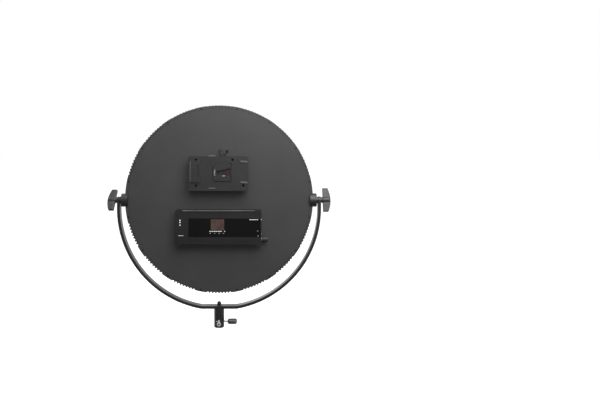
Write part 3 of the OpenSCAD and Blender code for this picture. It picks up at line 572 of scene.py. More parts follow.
    @classmethod
    def fitted(cls, piece: bpy.types.Object, low: Vector, high: Vector) -> bpy.types.Object:
        """Stretches a piece's mesh so that it just fills a box.

        Args:
            piece: The piece to stretch.
            low: The box's lowest corner.
            high: The box's highest corner.

        Returns:
            The piece.
        """
        cls.clear()
        corners = [Vector(corner) for corner in piece.bound_box]
        was_low = Vector(map(min, *corners))
        was_high = Vector(map(max, *corners))
        ratio = [(high[i] - low[i]) / (was_high[i] - was_low[i]) for i in range(3)]
        piece.data.transform(Matrix.Translation(low) @ Matrix.Diagonal((*ratio, 1))
                             @ Matrix.Translation(-was_low))
        return piece

    @classmethod
    def cleaned(cls, piece: bpy.types.Object) -> bpy.types.Object:
        """Merges doubled points and turns the faces outwards.

        Args:
            piece: The piece to clean.

        Returns:
            The piece.
        """
        cls.edit(piece, lambda face: True)
        bpy.ops.mesh.select_all(action="SELECT")
        bpy.ops.mesh.remove_doubles(threshold=0.002 * MM)
        bpy.ops.mesh.normals_make_consistent(inside=False)
        bpy.ops.object.mode_set(mode="OBJECT")
        return piece


def dress(piece: bpy.types.Object, finish: Finish) -> bpy.types.Object:
    """Gives a piece one finish all over.

    Args:
        piece: The piece to dress.
        finish: Its surface finish.

    Returns:
        The piece.
    """
    piece.data.materials.clear()
    piece.data.materials.append(finish.material())
    return piece


@dataclass
class Assembly:
    """A sub-assembly: the frame nodes that it finishes and the pieces that it adds."""

    body: str = "head"
    finishes: dict[str, Finish] = field(default_factory=dict)
    edges: dict[str, float] = field(default_factory=dict)

    def dress_frame(self) -> None:
        """Gives each of its frame nodes its finish and breaks their sharp edges."""
        for name, finish in self.finishes.items():
            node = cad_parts[name]
            dress(node, finish)
            width = self.edges.get(name, 0)
            if width:
                self.break_edges(node, width)

    @staticmethod
    def break_edges(node: bpy.types.Object, width: float) -> None:
        """Adds live modifiers that weld a frame node and round its sharp edges.

        Args:
            node: The frame node.
            width: How wide the rounding is.
        """
        weld = node.modifiers.new("Weld", "WELD")
        weld.merge_threshold = 0.005 * MM
        bevel = node.modifiers.new("Edge", "BEVEL")
        bevel.width = width
        bevel.segments = 2
        bevel.limit_method = "ANGLE"
        bevel.angle_limit = math.radians(40)
        bevel.use_clamp_overlap = True
        shade = node.modifiers.new("Shade", "WEIGHTED_NORMAL")
        shade.keep_sharp = False
        shade.weight = 90

    def place(self, piece: bpy.types.Object, finish: Finish, slot: str, body: str = "",
              replaces: tuple[str, ...] = ()) -> bpy.types.Object:
        """Finishes a new piece and ties it to its body.

        Args:
            piece: The finished mesh.
            finish: Its surface finish.
            slot: A slot name for the finish; not used.
            body: The body it moves with, where it isn't the assembly's own.
            replaces: The frame nodes that it stands for.

        Returns:
            The piece.
        """
        dress(piece, finish)
        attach(piece, body or self.body)
        if replaces:
            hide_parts(*replaces)
        LOG.info("%s rides on %s", piece.name, body or self.body)
        return piece


class Drive(Enum):
    """The recess in a screw's head."""

    CROSS = "a cross recess"
    HEX = "a hexagon socket"


@dataclass
class ScrewMaker:
    """Makes one screw along an axis, with its recess in the head's outer face.

    The last six are parts of the whole: crown and recess_depth of the head's height, cross_reach,
    cross_width and socket_reach of its radius, and point of the shank's radius.
    """

    head_radius: float
    head_height: float
    shank_radius: float
    shank_length: float
    drive: Drive = Drive.CROSS
    crown: float = 0.35
    recess_depth: float = 0.55
    cross_reach: float = 0.55
    cross_width: float = 0.12
    socket_reach: float = 0.5
    point: float = 0.4

    def make(self, name: str) -> bpy.types.Object:
        """Builds the screw at the origin: the head's outer face looks along -Y and the shank runs along +Y.

        Args:
            name: The screw's name.

        Returns:
            The screw.
        """
        head = Bench.drum(name, self.head_radius, self.head_height, (0, 0, 0), Axis.Y, 28)
        Bench.bevel_faces(head, lambda face: face.normal.y < -FACING, self.head_height * self.crown, 3)
        deep = self.head_height * self.recess_depth
        if self.drive is Drive.CROSS:
            arm, thin = self.head_radius * self.cross_reach, self.head_radius * self.cross_width
            for wide, tall in ((arm, thin), (thin, arm)):
                Bench.carved(head, Bench.block("recess", (-wide, -deep, -tall), (wide, deep, tall)))
        else:
            Bench.carved(head, Bench.drum("recess", self.head_radius * self.socket_reach, 2 * deep,
                                          (0, -deep, 0), Axis.Y, 6))
        shank = Bench.drum("shank", self.shank_radius, self.shank_length, (0, self.head_height, 0),
                           Axis.Y, 20)
        Bench.bevel_faces(shank, lambda face: face.normal.y > FACING, self.shank_radius * self.point, 2)
        return Bench.smooth(Bench.joined(name, [head, shank]))


# ---- The light's sub-assemblies ----


@dataclass
class Head(Assembly):
    """The round head: rim, back plate, bezel, diffuser and the light source inside."""

    screw_count: int = 16
    screw_inset: float = 4.5 * MM
    screw_head_radius: float = 2.4 * MM
    screw_head_height: float = 1.2 * MM
    screw_shank_radius: float = 1.2 * MM
    screw_turn: float = 0.7

    def build(self) -> None:
        """Finishes the head and adds its rim screws."""
        self.finishes = {"rim_frame": HEAD_PAINT, "back_plate": HEAD_PAINT, "front_bezel": BEZEL_PAINT,
                         "diffuser": DIFFUSER, "light_guide": CLEAR, "reflector": FILM,
                         "heat_ring": BARE_METAL, "led_board": WHITE_BOARD, "warm_emitters": WARM_LED,
                         "cool_emitters": COOL_LED, "rim_screws": BLACK_STEEL}
        self.edges = {"rim_frame": 0.3 * MM, "back_plate": 0.4 * MM, "front_bezel": 0.5 * MM}
        self.dress_frame()
        self.rim_screws()

    def rim_screws(self) -> None:
        """Sets one screw in each counterbore of the rim's rear flange."""
        low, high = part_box("rim_screws")
        centre_z = (low.z + high.z) / 2
        rim_low, rim_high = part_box("rim_frame")
        ring = (rim_high.x - rim_low.x) / 2 - self.screw_inset
        length = high.y - low.y - self.screw_head_height
        first = ScrewMaker(self.screw_head_radius, self.screw_head_height, self.screw_shank_radius,
                           length).make("rim_screw")
        screws = []
        for i in range(self.screw_count):
            angle = (i + 0.5) * math.tau / self.screw_count
            at = Vector((ring * math.cos(angle), low.y, centre_z + ring * math.sin(angle)))
            turn = Matrix.Rotation(i * self.screw_turn, 4, "Y")
            screws.append(Bench.copied(first, f"rim_screw_{i}", Matrix.Translation(at) @ turn))
        bpy.data.objects.remove(first)
        self.place(Bench.joined("rim_screw_set", screws), BLACK_STEEL, "black_steel",
                   replaces=("rim_screws",))


@dataclass
class WingKnob:
    """A moulded bar-grip knob: a round hub under two smooth wings."""

    node: str
    body: str
    side: int
    turn: float
    hub_radius: float
    wing_start: float
    tip_reach: float
    thickness: float
    core_share: float = 0.8
    wing_bevel: float = 1.1 * MM
    recess_share: float = 0.62
    recess_depth: float = 1 * MM
    collar_share: float = 0.5
    foot_share: float = 0.9
    groove: float = 0.5 * MM
    barrel_share: float = 0.93
    barrel_round: float = 2.2 * MM
    edge_round: float = 0.25 * MM

    def make(self, axis_z: float) -> bpy.types.Object:
        """Models the knob along +X at the origin, fits it to its frame node and turns it.

        Args:
            axis_z: The height of the axis that the knob turns about.

        Returns:
            The knob.
        """
        low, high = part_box(self.node)
        reach = high.x - low.x
        back = Matrix.Rotation(-self.turn, 4, "X") @ Matrix.Translation((0, 0, -axis_z))
        points = [back @ vertex.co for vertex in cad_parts[self.node].data.vertices]
        span = max(point.z for point in points) - min(point.z for point in points)
        wings = self.wings(reach, span)
        hub = self.hub(reach)
        knob = Bench.joined(f"{self.node}_moulding", [wings, hub])
        recess = Bench.drum("recess", self.hub_radius * self.recess_share, 2 * self.recess_depth,
                            (-self.recess_depth, 0, 0), Axis.X, 32)
        Bench.carved(knob, recess)
        start = low.x if self.side > 0 else high.x
        knob.data.transform(Matrix.Translation((start, 0, axis_z)) @ Matrix.Rotation(self.turn, 4, "X")
                            @ Matrix.Diagonal((self.side, 1, 1, 1)))
        if self.side < 0:
            knob.data.flip_normals()
        return Bench.smooth(knob, 40)

    def wings(self, reach: float, span: float) -> bpy.types.Object:
        """Models the two wings: a block drawn out along Z in steps, swelling at its tips.

        Args:
            reach: How far the knob stands out.
            span: Its size from tip to tip.

        Returns:
            The wings.
        """
        half_thick = self.thickness / 2
        core = self.hub_radius * self.core_share
        slack = 0.1 * MM
        tip = span / 2
        wings = Bench.block("wings", (self.wing_start, -half_thick, -core), (reach, half_thick, core))
        # Each step of a wing: how far out it ends and how thick it is, as parts of the whole
        steps = ((0.45, 0.94), (0.68, 0.9), (0.86, 0.88), (0.97, 0.86), (1.0, 0.72))
        for way in (1, -1):
            was_outer, was_thick, was_z = reach, 1.0, core
            for out, thick in steps:
                Bench.edit(wings, lambda face, way=way, at=was_z:
                           face.normal.z * way > 0.5 and face.center.z * way > at - slack)
                Bench.extrude((0, 0, way * (tip * out - was_z)))
                outer = reach - (reach - self.tip_reach) * out * out
                grow = (outer - self.wing_start) / (was_outer - self.wing_start)
                bpy.ops.transform.resize(value=(grow, thick / was_thick, 1),
                                         center_override=(self.wing_start, 0, 0))
                was_outer, was_thick, was_z = outer, thick, tip * out
                bpy.ops.object.mode_set(mode="OBJECT")
        Bench.modify(wings, "BEVEL", width=self.wing_bevel, segments=2, limit_method="ANGLE",
                     angle_limit=math.radians(50))
        Bench.modify(wings, "SUBSURF", levels=1, render_levels=1)
        return Bench.fitted(wings, Vector((self.wing_start, -half_thick, -tip)),
                            Vector((reach, half_thick, tip)))

    def hub(self, reach: float) -> bpy.types.Object:
        """Models the hub: a collar at the foot, a groove, and a barrel that runs out to a rounded end.

        Args:
            reach: How far the knob stands out.

        Returns:
            The hub.
        """
        collar, foot_radius = self.wing_start * self.collar_share, self.hub_radius * self.foot_share
        barrel_start = collar + 2 * self.groove
        hub = Bench.drum("hub", foot_radius, collar, (0, 0, 0), Axis.X, 64)
        Bench.edit(hub, lambda face: face.normal.x > FACING)
        bpy.ops.mesh.inset(thickness=self.groove)
        Bench.extrude((self.groove, 0, 0))
        Bench.extrude((self.groove, 0, 0))
        wide = self.hub_radius / (foot_radius - self.groove)
        bpy.ops.transform.resize(value=(1, wide, wide), center_override=(barrel_start, 0, 0))
        Bench.extrude((reach * self.barrel_share - barrel_start, 0, 0))
        bpy.ops.mesh.bevel(offset=self.barrel_round, segments=4, affect="EDGES")
        bpy.ops.object.mode_set(mode="OBJECT")
        return Bench.rounded(hub, self.edge_round, 2)


@dataclass
class TiltPivots(Assembly):
    """The blocks, inserts, studs and knobs on which the head tilts."""

    knob_hub_radius: float = 8 * MM
    knob_wing_start: float = 5.5 * MM
    knob_tip_reach: float = 18.5 * MM
    knob_thickness: float = 10 * MM
    left_turn: float = -40
    right_turn: float = -17

    def build(self) -> None:
        """Finishes the pivots and models both knobs."""
        self.finishes = {"pivot_block_left": BLOCK_PAINT, "pivot_block_right": BLOCK_PAINT,
                         "pivot_insert_left": BRASS, "pivot_insert_right": BRASS,
                         "tilt_stud_left": BRIGHT_STEEL, "tilt_stud_right": BRIGHT_STEEL,
                         "tilt_knob_left": KNOB_PLASTIC, "tilt_knob_right": KNOB_PLASTIC}
        self.edges = {"pivot_block_left": 0.9 * MM, "pivot_block_right": 0.9 * MM}
        self.dress_frame()
        low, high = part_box("tilt_stud_right")
        axis_z = (low.z + high.z) / 2
        knobs = (("tilt_knob_left", "left_knob", -1, self.left_turn),
                 ("tilt_knob_right", "right_knob", 1, self.right_turn))
        for node, body, side, turn in knobs:
            knob = WingKnob(node, body, side, math.radians(turn), self.knob_hub_radius,
                            self.knob_wing_start, self.knob_tip_reach, self.knob_thickness).make(axis_z)
            self.place(knob, KNOB_PLASTIC, "knob_plastic", body, (node,))


@dataclass
class Yoke(Assembly):
    """The bent bar, its stand receiver and the receiver's fittings."""

    nut_radius: float = 5.5 * MM
    nut_height: float = 10 * MM
    hexagon_height: float = 4 * MM
    dome_share: float = 0.95
    dome_overlap: float = 0.4 * MM
    bolt_radius: float = 4 * MM
    key_screw_head: float = 2.2 * MM
    key_screw_height: float = 1 * MM
    key_screw_shank: float = 1.1 * MM
    lock_hub_radius: float = 7 * MM
    lock_wing_start: float = 3 * MM
    lock_tip_reach: float = 17 * MM
    lock_thickness: float = 9 * MM
    lock_turn: float = 78

    def build(self) -> None:
        """Finishes the yoke and models its dome nut, key screw and lock knob."""
        self.body = "yoke"
        self.finishes = {"yoke_bar": YOKE_PAINT, "pivot_washer_left": NYLON, "pivot_washer_right": NYLON,
                         "stand_receiver": YOKE_PAINT, "receiver_bolt": BLACK_STEEL,
                         "spigot_key": SATIN_NICKEL, "spigot_key_screw": BLACK_STEEL,
                         "roll_pin": SATIN_NICKEL, "lock_knob": KNOB_PLASTIC, "lock_screw": ZINC_SCREW}
        self.edges = {"yoke_bar": 0.7 * MM, "stand_receiver": 0.7 * MM, "spigot_key": 0.25 * MM,
                      "pivot_washer_left": 0.3 * MM, "pivot_washer_right": 0.3 * MM}
        self.dress_frame()
        self.dome_nut()
        self.key_screw()
        low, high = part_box("lock_screw")
        maker = WingKnob("lock_knob", "lock", 1, math.radians(self.lock_turn), self.lock_hub_radius,
                         self.lock_wing_start, self.lock_tip_reach, self.lock_thickness)
        knob = maker.make((low.z + high.z) / 2)
        self.place(knob, KNOB_PLASTIC, "knob_plastic", "lock", ("lock_knob",))

    def dome_nut(self) -> None:
        """Models the bolt through the bar with its hexagon dome nut on top."""
        low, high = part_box("receiver_bolt")
        seat, dome_radius = high.z - self.nut_height, self.nut_radius * self.dome_share
        hexagon = Bench.drum("hexagon", self.nut_radius, self.hexagon_height, (0, 0, seat), Axis.Z, 6)
        Bench.rounded(hexagon, 0.35 * MM, 2)
        Bench.clear()
        bpy.ops.mesh.primitive_uv_sphere_add(segments=40, ring_count=20, radius=dome_radius,
                                             location=(0, 0, high.z - dome_radius))
        dome = Bench.settled(Bench.started("dome"))
        foot = seat + self.hexagon_height - self.dome_overlap
        neck = Bench.drum("neck", dome_radius, high.z - dome_radius - foot, (0, 0, foot), Axis.Z, 40)
        bolt = Bench.drum("bolt", self.bolt_radius, seat - low.z, (0, 0, low.z), Axis.Z, 40)
        nut = Bench.joined("dome_nut", [hexagon, dome, neck, bolt])
        self.place(Bench.smooth(nut), BLACK_STEEL, "black_steel", replaces=("receiver_bolt",))

    def key_screw(self) -> None:
        """Models the screw that the key plate swings on."""
        low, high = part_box("spigot_key_screw")
        screw = ScrewMaker(self.key_screw_head, self.key_screw_height, self.key_screw_shank,
                           high.y - low.y - self.key_screw_height).make("key_screw")
        screw.data.transform(Matrix.Translation((0, low.y, (low.z + high.z) / 2)))
        self.place(screw, BLACK_STEEL, "black_steel", replaces=("spigot_key_screw",))


@dataclass
class BatteryPlate(Assembly):
    """The battery plate on its spacer, with wedge recess, latch, terminals and leads."""

    screw_head_radius: float = 2.8 * MM
    screw_head_height: float = 2.5 * MM
    screw_shank_radius: float = 1.5 * MM
    ridge_up: float = 5.5 * MM
    ridge_height: float = 2.2 * MM
    strip_proud: float = 0.15 * MM
    strip_depth: float = 1.4 * MM
    strip_margin: float = 0.1 * MM
    strip_round: float = 0.5 * MM
    edge_out: float = 1.2 * MM
    edge_in: float = 0.5 * MM
    edge_proud: float = 0.2 * MM
    edge_inset: float = 1.5 * MM
    edge_round: float = 0.4 * MM
    spring_turns: int = 6
    spring_steps: int = 22
    spring_wire: float = 0.28 * MM

    def build(self) -> None:
        """Finishes the battery plate and models its screws, its spring and the painted highlight strips on
        its face.
        """
        self.finishes = {"battery_spacer": PLATE_PLASTIC, "battery_plate": PLATE_PLASTIC,
                         "plate_screws": BLACK_STEEL, "terminal_block": PLATE_PLASTIC,
                         "battery_contacts": DULL_BRASS, "v_socket": PLATE_PLASTIC, "v_socket_floor": MAROON,
                         "detent_roller": ROLLER_STEEL, "plate_hooks": CATCH_GREY_AND_HIGHLIGHT,
                         "release_slide": CATCH_GREY_AND_HIGHLIGHT, "release_spring": BRIGHT_STEEL,
                         "battery_latch": BRIGHT_STEEL, "lead_black": BLACK_PVC, "lead_red": RED_PVC,
                         "lead_grommets": RUBBER}
        self.edges = {"battery_spacer": 0.5 * MM, "battery_plate": 0.6 * MM, "terminal_block": 0.4 * MM,
                      "v_socket": 0.4 * MM, "plate_hooks": 0.4 * MM, "release_slide": 0.3 * MM,
                      "battery_latch": 0.3 * MM, "detent_roller": 0.25 * MM, "lead_grommets": 0.4 * MM}
        self.dress_frame()
        self.plate_screws()
        self.spring()
        self.highlight_strips()

    def highlight_strips(self) -> None:
        """Adds two painted highlight strips in the lighter grey: one on the ridge under the recess and one
        along the terminal block's edge, where those edges catch the light.
        """
        plate_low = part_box("battery_plate")[0]
        slide_low, slide_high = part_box("release_slide")
        low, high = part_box("terminal_block")
        foot = plate_low.z + self.ridge_up
        top = foot + self.ridge_height + self.strip_margin
        strip = Bench.block("catch_highlight_strip",
                            (slide_low.x, plate_low.y - self.strip_proud, foot - self.strip_margin),
                            (slide_high.x, plate_low.y + self.strip_depth, top))
        self.place(Bench.rounded(strip, self.strip_round), CATCH_GREY_AND_HIGHLIGHT, "black_plastic")
        edge = Bench.block("terminal_edge_highlight",
                           (low.x - self.edge_out, low.y - self.edge_proud, low.z + self.edge_inset),
                           (low.x + self.edge_in, high.y, high.z - self.edge_inset))
        self.place(Bench.rounded(edge, self.edge_round), CATCH_GREY_AND_HIGHLIGHT, "black_plastic")

    def plate_screws(self) -> None:
        """Sets a cross-recess screw at the bottom of each counterbore of the plate."""
        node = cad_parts["plate_screws"]
        low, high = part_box("plate_screws")
        head_back = low.y + self.screw_head_height
        rims = [vertex.co for vertex in node.data.vertices if abs(vertex.co.y - head_back) < 0.01 * MM]
        centres = self.clusters(rims, 2 * self.screw_head_radius)
        first = ScrewMaker(self.screw_head_radius, self.screw_head_height, self.screw_shank_radius,
                           high.y - head_back).make("plate_screw")
        screws = [Bench.copied(first, f"plate_screw_{i}", Matrix.Translation((at.x, low.y, at.z)))
                  for i, at in enumerate(centres)]
        bpy.data.objects.remove(first)
        self.place(Bench.joined("plate_screw_set", screws), BLACK_STEEL, "black_steel",
                   replaces=("plate_screws",))

    @staticmethod
    def clusters(points: list[Vector], reach: float) -> list[Vector]:
        """Gives the centre of each group of points that lie within reach of each other.

        Args:
            points: The points of all the groups.
            reach: The size of a group.

        Returns:
            One centre for each group.
        """
        groups: list[list[Vector]] = []
        for point in points:
            home = next((group for group in groups if (group[0] - point).length < reach), None)
            if home is None:
                groups.append([point])
            else:
                home.append(point)
        return [(Vector(map(min, *group)) + Vector(map(max, *group))) / 2 for group in groups]

    def spring(self) -> None:
        """Winds the coil spring under the release slide."""
        low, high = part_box("release_spring")
        centre = (low + high) / 2
        coil_radius = (high.x - low.x) / 2 - self.spring_wire
        Bench.clear()
        bpy.ops.mesh.primitive_circle_add(vertices=10, radius=self.spring_wire,
                                          location=(coil_radius, 0, 0), rotation=(math.pi / 2, 0, 0))
        coil = Bench.settled(Bench.started("release_coil"))
        tall = high.z - low.z - 2 * self.spring_wire
        steps = self.spring_steps * self.spring_turns
        Bench.modify(coil, "SCREW", axis="Z", angle=math.tau * self.spring_turns, screw_offset=tall,
                     steps=steps, render_steps=steps, use_normal_calculate=True)
        Bench.edit(coil, lambda face: False)
        bpy.ops.mesh.select_mode(type="EDGE")
        bpy.ops.mesh.select_non_manifold()
        bpy.ops.mesh.edge_face_add()
        bpy.ops.object.mode_set(mode="OBJECT")
        Bench.cleaned(coil)
        coil.data.transform(Matrix.Translation((centre.x, centre.y, low.z + self.spring_wire)))
        dress(Bench.smooth(coil, 60), BRIGHT_STEEL)
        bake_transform(coil)
        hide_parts("release_spring")
        LOG.info("%s bends between %s and release", coil.name, self.body)


@dataclass(frozen=True)
class PrintRow:
    """A row of printed bars: its first bar's middle, each bar's size, the face, and the last bar's middle."""

    name: str
    first: float
    z: float
    wide: float
    tall: float
    face_y: float
    last: float = 0.0
    count: int = 1

    def places(self) -> list[float]:
        """Gives the middle of each bar, across, evenly from first to last."""
        if self.count == 1:
            return [self.first]
        return [self.first + (self.last - self.first) * i / (self.count - 1) for i in range(self.count)]


@dataclass
class Controller(Assembly):
    """The control box under the battery plate, with its window, dial and boards."""

    dial_ribs: int = 24
    dial_round: float = 0.9 * MM
    groove_margin: float = 0.15 * MM
    groove_depth: float = 0.45 * MM
    dial_lip: float = 1.1 * MM
    dial_sink: float = 0.5 * MM
    pointer_wide: float = 0.7 * MM
    pointer_thick: float = 0.25 * MM
    pointer_gap: float = 0.3 * MM
    pointer_start: float = 1.4 * MM
    pointer_share: float = 0.72
    pointer_round: float = 0.08 * MM
    mark_thick: float = 0.12 * MM
    mark_round: float = 0.8
    vent_pitch: float = 5.2 * MM
    vent_width: float = 2.4 * MM
    vent_edge: float = 14 * MM
    cap_share: float = 0.3
    cap_proud: float = 0.1 * MM
    cap_tall: float = 1.5 * MM
    cap_deep: float = 2.5 * MM
    cap_round: float = 0.35 * MM
    case_screw_head: float = 2.4 * MM
    case_screw_shank: float = 1.25 * MM
    case_screw_length: float = 6 * MM

    def build(self) -> None:
        """Finishes the control box and models its dial, screws, printed marks and the painted highlight caps
        on its vent ribs.
        """
        self.finishes = {"controller_base": CASE_PAINT, "controller_case": CASE_PAINT,
                         "case_screws": BRIGHT_STEEL, "control_window": WINDOW, "lcd_screen": LCD,
                         "status_lights": STATUS, "display_board": GREEN_BOARD, "driver_board": GREEN_BOARD,
                         "driver_coils": FERRITE, "heat_sink": BARE_METAL, "dial_encoder": ENCODER,
                         "dial_nut": BRIGHT_STEEL, "control_dial": DIAL_RUBBER}
        self.edges = {"controller_base": 0.3 * MM, "controller_case": 0.25 * MM, "dial_nut": 0.2 * MM,
                      "control_window": 0.2 * MM, "lcd_screen": 0.2 * MM, "status_lights": 0.15 * MM,
                      "heat_sink": 0.2 * MM, "driver_coils": 0.8 * MM}
        self.dress_frame()
        self.dial()
        self.case_screws()
        self.window_marks()
        self.vent_rib_highlights()

    def vent_rib_highlights(self) -> None:
        """Caps the rib between each two vent slots with a bright strip along the case's top edge: a painted
        highlight where the ribs catch the light from above.
        """
        low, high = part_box("controller_case")
        middle = (low.x + high.x) / 2
        count = int((high.x - low.x - 2 * self.vent_edge) / self.vent_pitch) + 1
        rib = self.vent_pitch - self.vent_width
        caps = []
        for i in range(count - 1):
            x = middle + (i + 1 - count / 2) * self.vent_pitch
            half = self.cap_share * rib
            cap = Bench.block(f"vent_cap_{i}",
                              (x - half, low.y - self.cap_proud, high.z - self.cap_tall),
                              (x + half, low.y + self.cap_deep, high.z + self.cap_proud))
            caps.append(Bench.rounded(cap, self.cap_round, 2))
        self.place(Bench.joined("vent_rib_highlight_caps", caps), RIB_HIGHLIGHT, "case_paint")

    def dial(self) -> None:
        """Models the ribbed dial with its sunk end face and pointer line."""
        low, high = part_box("control_dial")
        centre_y, centre_z = (low.y + high.y) / 2, (low.z + high.z) / 2
        radius = (high.y - low.y) / 2
        step = math.tau / self.dial_ribs
        dial = Bench.drum("dial_cap", radius, high.x - low.x, (low.x, centre_y, centre_z), Axis.X,
                          self.dial_ribs * 3)

        def in_groove(face: bpy.types.MeshPolygon) -> bool:
            """Says whether a side face lies in a groove between two ribs."""
            angle = math.atan2(face.center.z - centre_z, face.center.y - centre_y) % step
            return abs(face.normal.x) < 0.1 and abs(angle - step / 2) < step / 6

        Bench.bevel_faces(dial, lambda face: face.normal.x > FACING, self.dial_round, 3)
        Bench.edit(dial, in_groove)
        bpy.ops.mesh.inset(thickness=self.groove_margin)
        shrink = 1 - self.groove_depth / radius
        bpy.ops.transform.resize(value=(1, shrink, shrink), center_override=(low.x, centre_y, centre_z))
        bpy.ops.object.mode_set(mode="OBJECT")
        Bench.edit(dial, lambda face: face.normal.x > 0.99 and face.area > radius * radius)
        bpy.ops.mesh.inset(thickness=self.dial_lip)
        Bench.extrude((-self.dial_sink, 0, 0))
        bpy.ops.object.mode_set(mode="OBJECT")
        self.place(Bench.smooth(dial), DIAL_RUBBER, "dial_rubber", "dial", ("control_dial",))
        outer, half = high.x - self.pointer_gap, self.pointer_wide / 2
        pointer = Bench.block("dial_pointer",
                              (outer - self.pointer_thick, centre_y - half, centre_z + self.pointer_start),
                              (outer, centre_y + half, centre_z + radius * self.pointer_share))
        self.place(Bench.rounded(pointer, self.pointer_round, 2), WHITE_PRINT, "status_white", "dial")

    def case_screws(self) -> None:
        """Sets a socket screw in each end of the case, at both heights."""
        case_low, case_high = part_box("controller_case")
        low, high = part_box("case_screws")
        middle_y = (low.y + high.y) / 2
        proud = high.x - case_high.x
        first = ScrewMaker(self.case_screw_head, proud, self.case_screw_shank, self.case_screw_length,
                           Drive.HEX).make("case_screw")
        screws = []
        for side in (-1, 1):
            face_x = case_high.x + proud if side > 0 else case_low.x - proud
            for z in (low.z + self.case_screw_head, high.z - self.case_screw_head):
                turn = Matrix.Rotation(side * math.pi / 2, 4, "Z")
                place = Matrix.Translation((face_x, middle_y, z)) @ turn
                screws.append(Bench.copied(first, f"case_screw_{len(screws)}", place))
        bpy.data.objects.remove(first)
        self.place(Bench.joined("case_screw_set", screws), BRIGHT_STEEL, "bright_steel",
                   replaces=("case_screws",))

    def window_marks(self) -> None:
        """Prints plain bars and dots on the window and the case, where a maker prints its legends."""
        low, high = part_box("control_window")
        lcd_low, lcd_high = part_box("lcd_screen")
        case_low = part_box("controller_case")[0]
        lcd_left, under_z, dots_z = lcd_low.x - 1 * MM, lcd_low.z - 3.2 * MM, lcd_low.z - 8.2 * MM
        side_z = (low.z + high.z) / 2 - 8 * MM
        rows = (
            PrintRow("print_under_lcd", lcd_left, under_z, 4.2 * MM, 1.9 * MM, low.y, lcd_high.x - 8 * MM, 6),
            PrintRow("print_under_lcd", lcd_high.x + 1 * MM, under_z, 2.4 * MM, 1.9 * MM, low.y),
            PrintRow("print_dots", lcd_left, dots_z, 1.4 * MM, 1.2 * MM, low.y, lcd_high.x - 2 * MM, 4),
            PrintRow("print_corner", high.x - 25 * MM, high.z - 3.4 * MM, 4.6 * MM, 1.8 * MM, low.y,
                     high.x - 8 * MM, 4),
            PrintRow("print_side", high.x - 7 * MM, side_z, 3 * MM, 0.9 * MM, low.y),
            PrintRow("print_low", high.x - 6 * MM, low.z + 3 * MM, 3 * MM, 0.9 * MM, low.y),
            PrintRow("print_bar", case_low.x + 13.5 * MM, low.z + 3.6 * MM, 13 * MM, 1.1 * MM, case_low.y))
        marks = [self.mark(row, x) for row in rows for x in row.places()]
        self.place(Bench.joined("window_print", marks), WHITE_PRINT, "status_white")

    def mark(self, row: PrintRow, x: float) -> bpy.types.Object:
        """Prints one small bar, with its edges broken, on a face that looks along -Y.

        Args:
            row: The row that the bar is in.
            x: The middle of the bar, across.

        Returns:
            The bar.
        """
        bar = Bench.block(row.name, (x - row.wide / 2, row.face_y - self.mark_thick, row.z - row.tall / 2),
                          (x + row.wide / 2, row.face_y, row.z + row.tall / 2))
        Bench.bevel_faces(bar, lambda face: face.normal.y < -FACING, self.mark_thick * self.mark_round, 1)
        return bar


# ---- Stage, light and camera ----


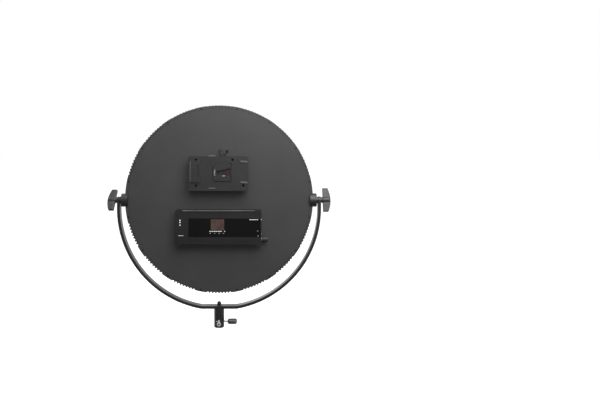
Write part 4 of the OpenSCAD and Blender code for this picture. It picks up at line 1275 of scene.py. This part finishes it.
@dataclass
class Studio:
    """A pale floor well below the light, a plain white surround, soft lamps and the camera."""

    floor_z: float = -0.45
    floor_half: float = 30.0
    surround_front: float = 1.0
    surround_back: float = 0.16
    camera_x: float = 0.070
    camera_back: float = 1.2
    camera_up: float = 0.130
    lens: float = 28.2
    shift_x: float = 0.0893
    shift_y: float = -0.0860
    reach: float = 200.0
    lean_share: float = 0.6
    lean_low: float = -0.9
    lean_high: float = 0.7

    def build(self) -> None:
        """Sets the stage."""
        self.floor()
        self.surround()
        self.lamp("top_softbox", (0.35, -0.85, 1.45), (0.0, 0.0, 0.45), size=1.4, power=26)
        self.lamp("rear_softbox", (0.8, -2.2, 1.5), (0.0, 0.0, 0.40), size=2.2, power=34)
        self.lamp("front_softbox", (-0.9, 1.9, 1.3), (0.0, 0.0, 0.3), size=1.4, power=16)
        self.camera()

    def floor(self) -> None:
        """Lays the floor."""
        Bench.clear()
        bpy.ops.mesh.primitive_plane_add(size=2 * self.floor_half, location=(0, 0, self.floor_z))
        floor = Bench.settled(Bench.started("studio_floor"))
        dress(floor, FLOOR)
        floor.visible_diffuse = False
        floor.visible_glossy = False

    def surround(self) -> None:
        """Makes the surround white where it is seen, and dimmer behind and below for the light it gives."""
        world = bpy.data.worlds.new("white_surround")
        bpy.context.scene.world = world
        world.use_nodes = True
        nodes, links = world.node_tree.nodes, world.node_tree.links
        background = nodes["Background"]
        background.inputs["Color"].default_value = (1, 1, 1, 1)
        way = nodes.new("ShaderNodeTexCoord")
        parts = nodes.new("ShaderNodeSeparateXYZ")
        links.new(way.outputs["Generated"], parts.inputs["Vector"])
        lean = nodes.new("ShaderNodeMath")
        lean.operation = "MULTIPLY_ADD"
        lean.inputs[1].default_value = self.lean_share
        links.new(parts.outputs["Z"], lean.inputs[0])
        links.new(parts.outputs["Y"], lean.inputs[2])
        span = nodes.new("ShaderNodeMapRange")
        span.interpolation_type = "SMOOTHSTEP"
        span.inputs["From Min"].default_value = self.lean_low
        span.inputs["From Max"].default_value = self.lean_high
        span.inputs["To Min"].default_value = self.surround_back
        span.inputs["To Max"].default_value = self.surround_front
        links.new(lean.outputs["Value"], span.inputs["Value"])
        seen = nodes.new("ShaderNodeLightPath")
        pick = nodes.new("ShaderNodeMix")
        links.new(seen.outputs["Is Camera Ray"], pick.inputs["Factor"])
        links.new(span.outputs["Result"], pick.inputs["A"])
        pick.inputs["B"].default_value = 1.0
        links.new(pick.outputs["Result"], background.inputs["Strength"])

    def lamp(self, name: str, place: Triple, target: Triple, size: float, power: float) -> None:
        """Hangs one soft square lamp.

        Args:
            name: The lamp's name.
            place: Where it hangs.
            target: The point that it faces.
            size: The length of its side.
            power: Its power in watts.
        """
        Bench.clear()
        bpy.ops.object.light_add(type="AREA", location=place)
        lamp = bpy.context.object
        lamp.name = name
        lamp.data.size = size
        lamp.data.energy = power
        lamp.rotation_euler = (Vector(target) - Vector(place)).to_track_quat("-Z", "Y").to_euler()

    def camera(self) -> None:
        """Sets up the camera behind the head, its film parallel to the back plate."""
        low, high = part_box("rim_frame")
        place = (self.camera_x, low.y - self.camera_back, (low.z + high.z) / 2 + self.camera_up)
        Bench.clear()
        bpy.ops.object.camera_add(location=place, rotation=(math.pi / 2, 0, 0))
        camera = bpy.context.object
        camera.data.lens = self.lens
        camera.data.shift_x = self.shift_x
        camera.data.shift_y = self.shift_y
        camera.data.clip_end = self.reach
        bpy.context.scene.camera = camera
        bpy.context.scene.view_settings.view_transform = "Standard"


def corners(box: tuple[Vector, Vector]) -> list[list[float]]:
    """Gives a box's two corners as plain lists."""
    return [list(map(float, corner)) for corner in box]


def main() -> None:
    """Builds the light's sub-assemblies in order, then the studio."""
    logging.basicConfig(level=logging.INFO, format="%(name)s: %(message)s")
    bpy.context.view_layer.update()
    for assembly in (Head(), TiltPivots(), Yoke(), BatteryPlate(), Controller()):
        LOG.info("building %s", type(assembly).__name__)
        assembly.build()
    Studio().build()


if __name__ == "__main__":
    main()
